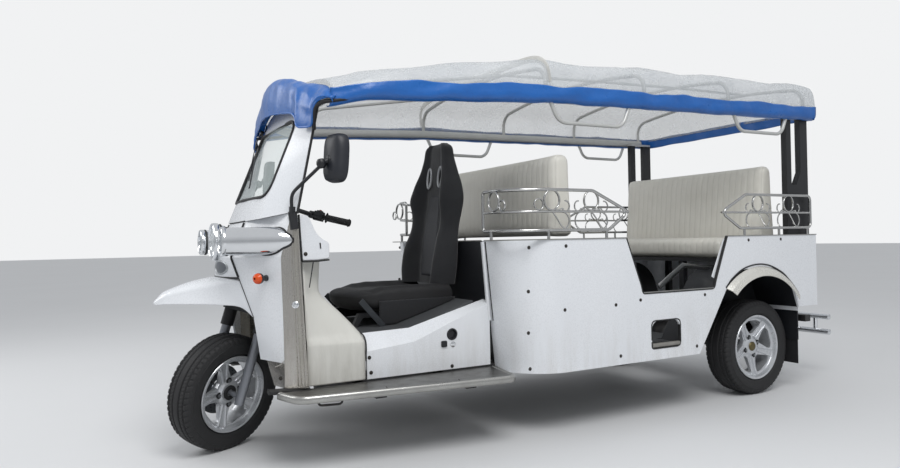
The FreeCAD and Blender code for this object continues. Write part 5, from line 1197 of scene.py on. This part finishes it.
def make_side_trim():
    """Trims round the entry and the foothold, caps on the panel top, entry flap, foothold and arch seal."""
    trims = []
    # Outlines in X and Z
    edge = [(-0.1055, 0.9435), (-0.2035, 0.69), (-0.2105, 0.6545), (-0.7485, 0.6545), (-0.7635, 0.702),
            (-0.8635, 0.9435)]
    hole = [(-0.2665, 0.4), (-0.2665, 0.3645), (-0.4765, 0.3645), (-0.4765, 0.5095), (-0.2665, 0.5095),
            (-0.2665, 0.41)]
    for outline, radius, steps, width in ((edge, 0.02, 7, 0.009), (hole, 0.03, 8, 0.008)):
        trims.append(bar(bent([(x, FACE, z) for x, z in outline], radius, steps), width, 0.018, up=Y))
    piece("opening_trims", both(trims), trim_black, "black_rubber")
    front = bent([(0.586, 0.46, PANEL_TOP), (0.586, CAP, PANEL_TOP), (-0.1055, CAP, PANEL_TOP)], 0.232, 24)
    rear = spline([(-0.8635, CAP, PANEL_TOP), (-1.677, CAP, PANEL_TOP)], 12)
    caps = [bar(path, 0.018, 0.006, 4, 14) for path in (front, rear)]
    caps.append(bar(spline([(-0.215, CAP, 0.6595), (-0.744, CAP, 0.6595)], 12), 0.016, 0.005, 4, 14))
    piece("panel_top_caps", both(caps), bright_edge, "stainless")
    flap = [(-0.8585, 0.6965, 0.925), (-0.842, 0.6935, 0.889), (-0.8, 0.693, 0.802), (-0.757, 0.693, 0.715)]
    piece("entry_flaps", both([bar(spline(flap, 24), 0.026, 0.0035, 4, 14, Y)]), white_paint, "white_paint")
    plate = bar([(-0.28, 0.642, 0.3715), (-0.463, 0.642, 0.3715)], 0.1, 0.004, 5, 16)
    tread = bar([(-0.272, 0.7005, 0.3795), (-0.471, 0.7005, 0.3795)], 0.024, 0.022, 3, 16)
    ribs = [bar([(x, 0.592, 0.3745), (x, 0.692, 0.3745)], 0.005, 0.003, 2.5, 8)
            for x in np.arange(-0.455, -0.28, 0.0145)]
    piece("foothold_plates", both([plate] + ribs), step_plate, "stainless")
    piece("foothold_treads", both([tread]), worn_tread, "stainless")
    arch = [(-0.842, 0.655), (-0.903, 0.708), (-0.998, 0.757), (-1.112, 0.777), (-1.225, 0.766),
            (-1.338, 0.72), (-1.43, 0.65), (-1.486, 0.594)]
    line = spline([(x, 0.7115, z) for x, z in arch], 60)
    piece("arch_seals", both([bar(line, 0.008, 0.006, 3, 10, Y)]), soft_rubber, "black_rubber")
    straps = []
    for ends, wide in (([(-0.543, 0.5, 0.664), (-0.747, 0.5, 0.78)], 0.036),
                       ([(-0.741, 0.5, 0.778), (-0.985, 0.5, 0.751)], 0.028)):
        straps.append(bar(spline(ends, 10), wide, 0.006, 4, 12, Y))
    piece("bench_stays", both(straps), rail_steel, "frame_black")


def make_boards():
    """Rounded nosings along the running boards' edges, joint strips and a loop below the front end."""
    strips = []
    edge = [(1.61, 0.468), (1.571, 0.603), (0.602, 0.724), (0.552, 0.46)]
    nosing = bar(bent([(x, y, 0.3135) for x, y in edge], 0.045, 12), 0.026, 0.034, 2.2, 20)
    for x in (1.2, 0.868):
        y = 0.6 + (1.575 - x) / 0.975 * 0.122
        fold = [(x, y - 0.02, 0.3315), (x, y + 0.0085, 0.3245), (x, y + 0.0105, 0.3035)]
        strips.append(bar(fold, 0.0028, 0.003, 3, 8, X))
    ring = bent([(1.46, 0.5, 0.302), (1.46, 0.512, 0.262), (1.365, 0.535, 0.262), (1.365, 0.548, 0.302)],
                0.016, 8)
    piece("board_nosings", both([nosing]), bright_edge, "stainless")
    piece("board_joints", both(strips), screw_dark, "stainless")
    piece("board_loops", both([carried(ring, circle(0.005, 10))]), black_paint, "frame_black")


def make_sill_parts():
    """Charging inlet's collar and flap, a square socket below it and a plain oval plate; sill joint seals."""
    spot = (0.776, SILL, 0.5)
    collar = turned([(-0.008, 0.0205), (0.001, 0.0205), (0.003, 0.022), (0.0035, 0.0265), (0.0015, 0.0285),
                     (-0.0005, 0.0285)], spot, Y, 40)
    plug = turned([(-0.02, 0.0195), (-0.006, 0.0195), (-0.005, 0.016), (-0.0045, TIP)], spot, Y, 32)
    box = bar([(0.821, 0.4495, 0.457), (0.821, 0.4555, 0.457)], 0.03, 0.03, 6, 24)
    oval = turned([(0, 0.0135), (0.002, 0.0135), (0.0028, 0.012), (0.003, 0.0004)], (0.772, SILL, 0.452), Y,
                  28)
    piece("charging_inlet", [collar, plug, box], black_plastic, "black_plastic")
    piece("inlet_plate", [oval], chrome, "chrome")
    seam = [(1.2165, 0.4512, 0.336), (1.2165, 0.4512, 0.457), (1.2165, 0.4512, 0.4975)]
    curl = spline([(1.2165, 0.4512, 0.457), (1.2165, 0.446, 0.5), (1.222, 0.437, 0.527),
                   (1.2285, 0.42, 0.5395), (1.2245, 0.398, 0.5425)], 24)
    piece("sill_seams", both([bar(seam, 0.004, 0.003, 3, 8, Y), bar(curl, 0.007, 0.005, 3, 10, Y)]),
          trim_black, "black_rubber")


def make_front_edges():
    """Rubber line and folded flange where the body's rounded corner ends beside the driver's back."""
    z = np.linspace(0.55, 0.938, 30)
    x = 0.59 - 0.062 * (0.942 - z) / 0.636
    edge = np.stack([x + 0.0015, 0.468 + 0 * z, z], -1)
    fold = np.stack([x + 0.0085, 0.455 + 0 * z - 0.012 * (0.938 - z) / 0.388, z], -1)
    piece("body_edge_seals", both([bar(edge, 0.005, 0.005, 3, 10, Y)]), trim_black, "black_rubber")
    piece("body_edge_folds", both([bar(fold, 0.016, 0.02, 4, 14, Y)]), white_paint, "white_paint")


def make_corner_pads():
    """Black rubber block between each corner plate's foot and the running board, carried along the board."""
    path = spline([(1.478, 0.43, 0.322), (1.56, 0.43, 0.323), (1.63, 0.43, 0.325), (1.65, 0.429, 0.328)], 20)
    piece("corner_foot_pads", both([bar(path, 0.062, 0.018, 4, 14)]), trim_black, "black_rubber")


def make_flap_strips():
    """Light strip across the head of each mud flap, and polished ends on the bumper tubes."""
    strip = bar([(-1.4955, 0.452, 0.497), (-1.4955, 0.704, 0.497)], 0.032, 0.008, 4, 12, X)
    cap = [(-0.004, 0.0193), (0.002, 0.0198), (0.006, 0.019), (0.009, 0.014), (0.0105, TIP)]
    ends = [turned(cap, (-2.021, 0.56, z), Y, 28) for z in (0.296, 0.396)]
    piece("mud_flap_strips", both([strip]), white_paint, "white_paint")
    piece("bumper_end_caps", both(ends), chrome, "stainless")


make_rail_scrolls()
make_screws()
make_side_trim()
make_boards()
make_sill_parts()
make_front_edges()
make_corner_pads()
make_flap_strips()


# Cab: fairing, dash, corner plates, mirrors and handlebar

# Fairing of the foot well, warm grey-white and matt
fairing_paint = soiled(surface("warm_fairing_gelcoat", ("#D3D2CC", "#C6C5BE"), (0.36, 0.55), patch=0.35,
                               grain=0.005, relief=0.00012), "#857F74", 0.62, 0.33, 0.5)
plate_steel = soiled(surface("bright_corner_sheet", ("#C9C6BF", "#A9A59D"), (0.2, 0.38), 0.92, patch=0.12,
                             grain=0.0014, relief=0.0002, stretch=(1, 1, 0.2)), "#6E6557", 0.62, 0.33, 0.65)
mirror_black = surface("moulded_mirror_black", ("#1A1D24", "#22252C"), (0.4, 0.55), patch=0.06, grain=0.0014,
                       relief=0.0001)
mirror_glass = surface("silvered_mirror_glass", ("#C6CCD2", "#B4BBC2"), (0.03, 0.06), 1.0, patch=0.1,
                       grain=0.002)
grip_rubber = surface("ribbed_grip_rubber", ("#101113", "#1C1D1F"), (0.6, 0.8), patch=0.02, grain=0.0008,
                      relief=0.00015)
red_button = surface("red_kill_button", ("#9E1B17", "#86150F"), (0.35, 0.5), patch=0.01, grain=0.0006)


def make_fairing():
    """Level sections, each from the front corner round a rounded rear corner to the far side."""
    z = np.array([0.335, 0.42, 0.492, 0.507, 0.522, 0.545, 0.592, 0.644, 0.69, 0.715, 0.75, 0.866])
    back = np.array([1.2175, 1.2175, 1.2175, 1.218, 1.2215, 1.237, 1.274, 1.321, 1.368, 1.389, 1.3955, 1.378])
    front_half = np.array([0.4495, 0.4495, 0.4495, 0.449, 0.445, 0.4365, 0.43, 0.4235, 0.418, 0.414, 0.408,
                           0.3915])
    rear_half = np.array([0.4495, 0.4495, 0.4485, 0.444, 0.4325, 0.4155, 0.392, 0.372, 0.357, 0.35, 0.34,
                          0.306])
    corner = 0.028
    run = np.linspace(0, 1, 10)[:, None]
    turn = np.linspace(0, 1, 9)[:, None]
    sections = []
    for high, rear, near, far in spline(np.stack([z, back, front_half, rear_half], -1), 110):
        first, edge = np.array((1.487, near)), np.array((rear, far))
        start = edge - unit(edge - first) * corner
        bend = (1 - turn) ** 2 * start + 2 * turn * (1 - turn) * edge + turn ** 2 * (edge - (0, corner))
        half = np.vstack([first * (1 - run) + start * run, bend[1:]])
        line = np.vstack([half, half[::-1] * (1, -1)])
        sections.append(np.column_stack([line, np.full(len(line), high)]))
    piece("cab_fairing", [grid(np.array(sections))], fairing_paint, "white_paint", replaces="leg_shield",
          sharp=50, wall=0.005)


def make_dash():
    """Two cheeks of one outline with softened rims, a shelf between them, black trims along the edges, and a line of
    painted shade down the gap below each cheek.
    """
    outline = [(1.494, 0.872), (1.506, 1.073), (1.464, 1.069), (1.43, 0.993), (1.4065, 0.968), (1.37, 0.948),
               (1.37, 0.878), (1.43, 0.872), (1.494, 0.872)]
    line = bent([(x, 0, z) for x, z in outline], 0.012, 6)[:-1]
    middle = np.array((1.44, 0, 0.94))
    rows = []
    for y, share in ((0.343, 0.001), (0.343, 0.95), (0.3435, 0.985), (0.347, 1.0), (0.38, 1.0), (0.418, 1.0),
                     (0.4225, 0.985), (0.4245, 0.955), (0.425, 0.9), (0.425, 0.001)):
        rows.append((line - middle) * share + middle + (0, y, 0))
    cheek = grid(np.array(rows), wrap_v=True)
    shelf_line = bent([(1.484, 0, 0.872), (1.484, 0, 0.93), (1.4, 0, 0.944), (1.387, 0, 0.872),
                       (1.484, 0, 0.872)], 0.012, 6)[:-1]
    y = np.linspace(-0.343, 0.343, 12)
    shelf = grid(np.array([shelf_line + (0, step, 0) for step in y]), wrap_v=True)
    piece("dash_cheeks", both([cheek]) + [shelf], white_paint, "white_paint", replaces="dash_panel", sharp=38)
    foot = [(1.3735, 0.4265, 0.8735), (1.43, 0.4265, 0.869), (1.4955, 0.4265, 0.869), (1.5015, 0.4265, 0.97),
            (1.5075, 0.4275, 1.072)]
    rim = bar(bent(foot, 0.008, 6), 0.008, 0.009, up=Y)
    slot = bar([(1.4135, 0.4262, 0.948), (1.4115, 0.4262, 0.923)], 0.006, 0.002, 3, 10, Y)
    # gap: a dark line of painted shade where the fairing meets the cheek's foot
    gap = spline([(1.442, 0.4155, 0.868), (1.452, 0.4185, 0.815), (1.463, 0.4205, 0.755)], 14)
    piece("dash_trims", both([rim, slot, bar(gap, 0.005, 0.003, 3, 10, Y)]), trim_black, "black_rubber")
    # Speedometer: ringed dial on the shelf's middle, and a key switch beside it
    way = unit((-0.5, 0, 0.86))
    dial = turned([(-0.02, 0.0385), (0.012, 0.0405), (0.02, 0.0405), (0.022, 0.037), (0.0175, 0.0345)],
                  (1.431, 0, 0.9375), way, 48)
    face = turned([(0.012, 0.035), (0.0135, 0.02), (0.0138, TIP)], (1.431, 0, 0.9375), way, 36)
    key = turned([(0, 0.0135), (0.01, 0.0135), (0.012, 0.011), (0.0125, TIP)], (1.43, -0.11, 0.9385), way, 28)
    piece("dash_dial", [dial], black_plastic, "black_plastic")
    piece("dash_dial_face", [face, key], bolt_steel, "black_plastic")


def plate_point(share, z):
    """A point of the left corner plate's slanting face: 0 at the cowl's edge, 1 at the cab's corner."""
    corner = np.stack([*cab_corner(z), z], -1)
    near = np.stack([*cowl_edges(z)[1], z], -1)
    return near + (corner - near) * share


def make_corner_channels():
    """Pressed ribs and a flat channel up the rear part of each corner plate, a lock, and a head strip."""
    z = np.linspace(0.345, 1.02, 60)
    out = np.array((0.44, 0.898, 0))
    ribs = []
    for share, size in ((0.56, 0.005), (0.7, 0.0035), (0.84, 0.0035), (0.965, 0.007)):
        ribs.append(bar(plate_point(share, z) + out * 0.0012, size, 0.0062, up=out))
    strip = bar(plate_point(0.77, z[2:-2]) + out * 0.0006, 0.02, 0.0022, 5, 14, out)
    piece("corner_channels", both(ribs + [strip]), plate_steel, "stainless", sharp=45)
    spot = plate_point(0.63, np.array(0.687)) + out * 0.001
    oval = turned([(-0.001, 0.0165), (0.003, 0.0165), (0.006, 0.0145), (0.0072, 0.0105), (0.0062, 0.0085),
                   (0.0062, TIP)], spot, out, 32)
    barrel = turned([(0.005, 0.0072), (0.0105, 0.0068), (0.0112, 0.005), (0.0112, TIP)], spot, out, 20)
    piece("corner_locks", both([oval, barrel]), chrome, "chrome")
    # Lower front lip of the plates, with its folded edge
    fold = spline([(1.5815, 0.4325, 0.45), (1.597, 0.4335, 0.4375), (1.621, 0.4335, 0.43)], 12)
    piece("corner_folds", both([bar(fold, 0.004, 0.004, 3, 8, Y)]), plate_steel, "stainless")


def make_mirrors():
    """Head of rows |y/W|^3.6 + |z/H|^3.2 = 1, a hollowed glass, a ball joint, a bent arm and its block."""
    a = turn_steps(56)
    ring_y, ring_z = power(np.cos(a), 0.55), power(np.sin(a), 0.62)
    swing = np.array(Matrix.Translation((1.384, 0.55, 1.307)) @ Matrix.Rotation(math.radians(15), 4, "Z")
                     @ Matrix.Rotation(math.radians(-4), 4, "Y"))
    rows = []
    for x, half, tall in ((-0.0225, 0.0615, 0.0975), (-0.0275, 0.0645, 0.1005), (-0.0265, 0.0675, 0.1035),
                          (-0.015, 0.069, 0.105), (0.0, 0.067, 0.1035), (0.013, 0.0615, 0.099), (0.0225, 0.051, 0.09),
                          (0.0285, 0.034, 0.07), (0.0305, 0.0004, 0.0004)):
        rows.append(np.stack([x + 0.0035 * (ring_z * tall / 0.1) ** 2 * (x > 0), ring_y * half,
                              ring_z * tall], -1))
    head = placed(grid(np.array(rows), wrap_v=True), swing)
    rows = []
    for share in (1.0, 0.8, 0.55, 0.3, 0.004):
        rows.append(np.stack([-0.0232 - 0.0022 * (1 - share ** 2) + 0 * a, ring_y * 0.0618 * share,
                              ring_z * 0.0978 * share], -1))
    glass = placed(grid(np.array(rows), wrap_v=True), swing)
    ball = turned([(-0.021, TIP), (-0.0195, 0.012), (-0.012, 0.0185), (0, 0.0215), (0.012, 0.0185),
                   (0.0195, 0.012), (0.021, TIP)], (1.443, 0.549, 1.281), (0.3, 0.2, 1), 28)
    neck = spline([(1.443, 0.549, 1.284), (1.425, 0.549, 1.29), (1.4, 0.55, 1.296)], 12)
    boss = turned([(0, 0.0225), (0.009, 0.0215), (0.014, 0.016), (0.0155, TIP)], (1.4065, 0.5485, 1.297),
                  (1, 0.05, -0.05), 28)
    arm = bent([(1.5425, 0.4485, 1.06), (1.5465, 0.4555, 1.158), (1.443, 0.549, 1.275)], 0.03, 10)
    cap = bar([(1.539, 0.4405, 1.072), (1.539, 0.4405, 1.104)], 0.026, 0.018, 4, 18, Y)
    block = bar([(1.532, 0.447, 1.008), (1.5405, 0.4435, 1.08)], 0.034, 0.024, 4, 18, Y)
    stems = [ball, bar(neck, 0.022, 0.03, 3, 16, Y), boss, carried(arm, circle(0.0075, 14)), cap, block]
    piece("mirror_heads", both([head]), mirror_black, "black_plastic", replaces="mirrors", sharp=50)
    piece("mirror_stems", both(stems), black_plastic, "black_plastic", replaces="mirrors")
    piece("mirror_faces", both([glass]), mirror_glass, "black_plastic")


def make_controls():
    """Ribbed grips with end flanges, switch blocks, levers and cables on the handlebar, all turned with it."""
    high = 0.905
    grips, blocks, levers, cables, buttons = [], [], [], [], []
    for side in (1, -1):
        start, end = np.array((-0.099, 0.13 * side, high)), np.array((-0.18, 0.31 * side, high))
        way = unit(end - start)
        length = np.linalg.norm(end - start)
        s = np.linspace(length - 0.118, length + 0.003, 130)
        # Ribs every 6 mm, a flange near the start and a bead at the end
        out = 0.0163 + 0.0008 * np.sin(s * TAU / 0.006)
        for place, height, reach in ((length - 0.117, 0.009, 0.004), (length - 0.004, 0.0035, 0.006)):
            out = out + height * np.clip(1 - np.abs(s - place) / reach, 0, 1)
        cap = [(length + 0.005, 0.013), (length + 0.0055, TIP)]
        profile = np.vstack([[(s[0], 0.011)], np.stack([s, out], -1), cap])
        grips.append(turned(profile, start, way, 28))
        middle = start + way * (length - 0.158)
        blocks.append(bar([middle - way * 0.022, middle + way * 0.024], 0.04, 0.046, 3.4, 24))
        over = middle + (0, 0, 0.022)
        blocks.append(bar([over - way * 0.012, over + way * 0.014], 0.026, 0.012, 3, 16))
        clamp = middle - way * 0.038
        blocks.append(carried([clamp - way * 0.009, clamp + way * 0.009], circle(0.0185, 20)))
        lead = np.array((way[1] * side, -way[0] * side, 0))
        pivot = clamp + lead * 0.032 + (0, 0, -0.008)
        lever = spline([pivot, pivot + way * 0.03 + lead * 0.012 + (0, 0, -0.004),
                        pivot + way * 0.085 + lead * 0.016 + (0, 0, -0.008),
                        pivot + way * 0.15 + lead * 0.022 + (0, 0, -0.01)], 30)
        levers.append(bar(lever, 0.012, 0.0065, 2.6, 12))
        blocks.append(bar([clamp + lead * 0.008, pivot + lead * 0.006], 0.024, 0.02, 3, 16))
        cable = spline([pivot - (0, 0, 0.004), pivot - way * 0.06 - (0, 0, 0.022),
                        (-0.075, 0.075 * side, high - 0.052), (-0.03, 0.02 * side, high - 0.12)], 40)
        cables.append(carried(cable, circle(0.0038, 8)))
        if side == 1:
            buttons.append(turned([(0, 0.0062), (0.004, 0.006), (0.005, 0.004), (0.0052, 0.0004)],
                                  middle + (0, 0, 0.0275) - lead * 0.004, Z, 20))
    for name, parts, material, slot, node in (
            ("grip_sleeves", grips, grip_rubber, "black_rubber", "hand_grips"),
            ("switch_blocks", blocks, black_plastic, "black_plastic", ()),
            ("brake_levers", levers, black_paint, "black_plastic", ()),
            ("control_cables", cables, soft_rubber, "black_rubber", ()),
            ("switch_button", buttons, red_button, "red_lens", ())):
        piece(name, [placed(part, STEERED) for part in parts], material, slot, body="steering", replaces=node,
              sharp=45)


def make_pillar_seals():
    """Rubber bead down the rear edge of each screen pillar."""
    line = spline([(1.5215, 0.4565, 1.075), (1.47, 0.457, 1.32), (1.412, 0.4565, 1.598)], 40)
    piece("pillar_seals", both([bar(line, 0.011, 0.01, up=Y)]), soft_rubber, "black_rubber")


make_fairing()
make_dash()
make_corner_channels()
make_mirrors()
make_controls()
make_pillar_seals()


# Camera, light and floor

def studio():
    """Camera of the photograph, a pale floor, a soft world and two broad lamps."""
    yaw, roll = math.radians(29.101), math.radians(-1.059)
    ahead = Vector((-0.48633, -0.87373, 0.00926)).normalized()
    level = Vector((-math.cos(yaw), math.sin(yaw), 0))
    upright = level.cross(ahead).normalized()
    across = math.cos(roll) * level + math.sin(roll) * upright
    up = math.cos(roll) * upright - math.sin(roll) * level
    eye = linked("camera", bpy.data.cameras.new("camera"))
    eye.data.lens = 27.30
    eye.data.sensor_width = 36
    turn = Matrix((across, up, -ahead)).transposed().to_4x4()
    eye.matrix_world = Matrix.Translation((2.3669, 3.3064, 0.9488)) @ turn
    bpy.context.scene.camera = eye
    bpy.context.scene.view_settings.view_transform = "Standard"
    world = bpy.data.worlds.new("studio")
    bpy.context.scene.world = world
    world.use_nodes = True
    tree = world.node_tree
    way = add(tree, "TexCoord")
    apart = add(tree, "SeparateXYZ", {}, {0: way.outputs["Generated"]})
    sky = add(tree, "MapRange", {1: -0.12, 2: 0.55, 3: 0.0, 4: 1.0}, {0: apart.outputs["Z"]})
    tone = add(tree, "Mix", {"data_type": "RGBA", 6: paint("#B9BCC0"), 7: paint("#F4F6F9")},
               {0: sky.outputs[0]})
    shown = add(tree, "LightPath")
    plain = add(tree, "Mix", {"data_type": "RGBA", 7: paint("#F1F2F3")},
                {0: shown.outputs["Is Camera Ray"], 6: tone.outputs[2]})
    dim = add(tree, "MapRange", {1: 0.0, 2: 1.0, 3: 0.72, 4: 1.0}, {0: shown.outputs["Is Camera Ray"]})
    glow = tree.nodes["Background"]
    tree.links.new(plain.outputs[2], glow.inputs["Color"])
    tree.links.new(dim.outputs[0], glow.inputs["Strength"])
    # Lamps: name, place, target, size, power
    for name, place, target, size, power in (
            ("key", (1.5, 3.5, 5.0), (0, 0, 0.8), 3.0, 170),
            ("fill", (5.0, -2.5, 3.5), (0.5, 0, 0.8), 3.0, 70)):
        lamp = linked(name, bpy.data.lights.new(name, "AREA"))
        lamp.data.shape = "DISK"
        lamp.data.size = size
        lamp.data.energy = power
        lamp.location = place
        lamp.rotation_euler = (Vector(target) - Vector(place)).to_track_quat("-Z", "Y").to_euler()
    floor = bpy.data.meshes.new("floor")
    floor.from_pydata([(-60, -60, 0), (60, -60, 0), (60, 60, 0), (-60, 60, 0)], [], [(0, 1, 2, 3)])
    floor.materials.append(surface("pale_studio_floor", ("#D9DADB", "#D4D5D6"), (0.7, 0.8), patch=2.0,
                                   grain=0.02))
    linked("floor", floor)


studio()
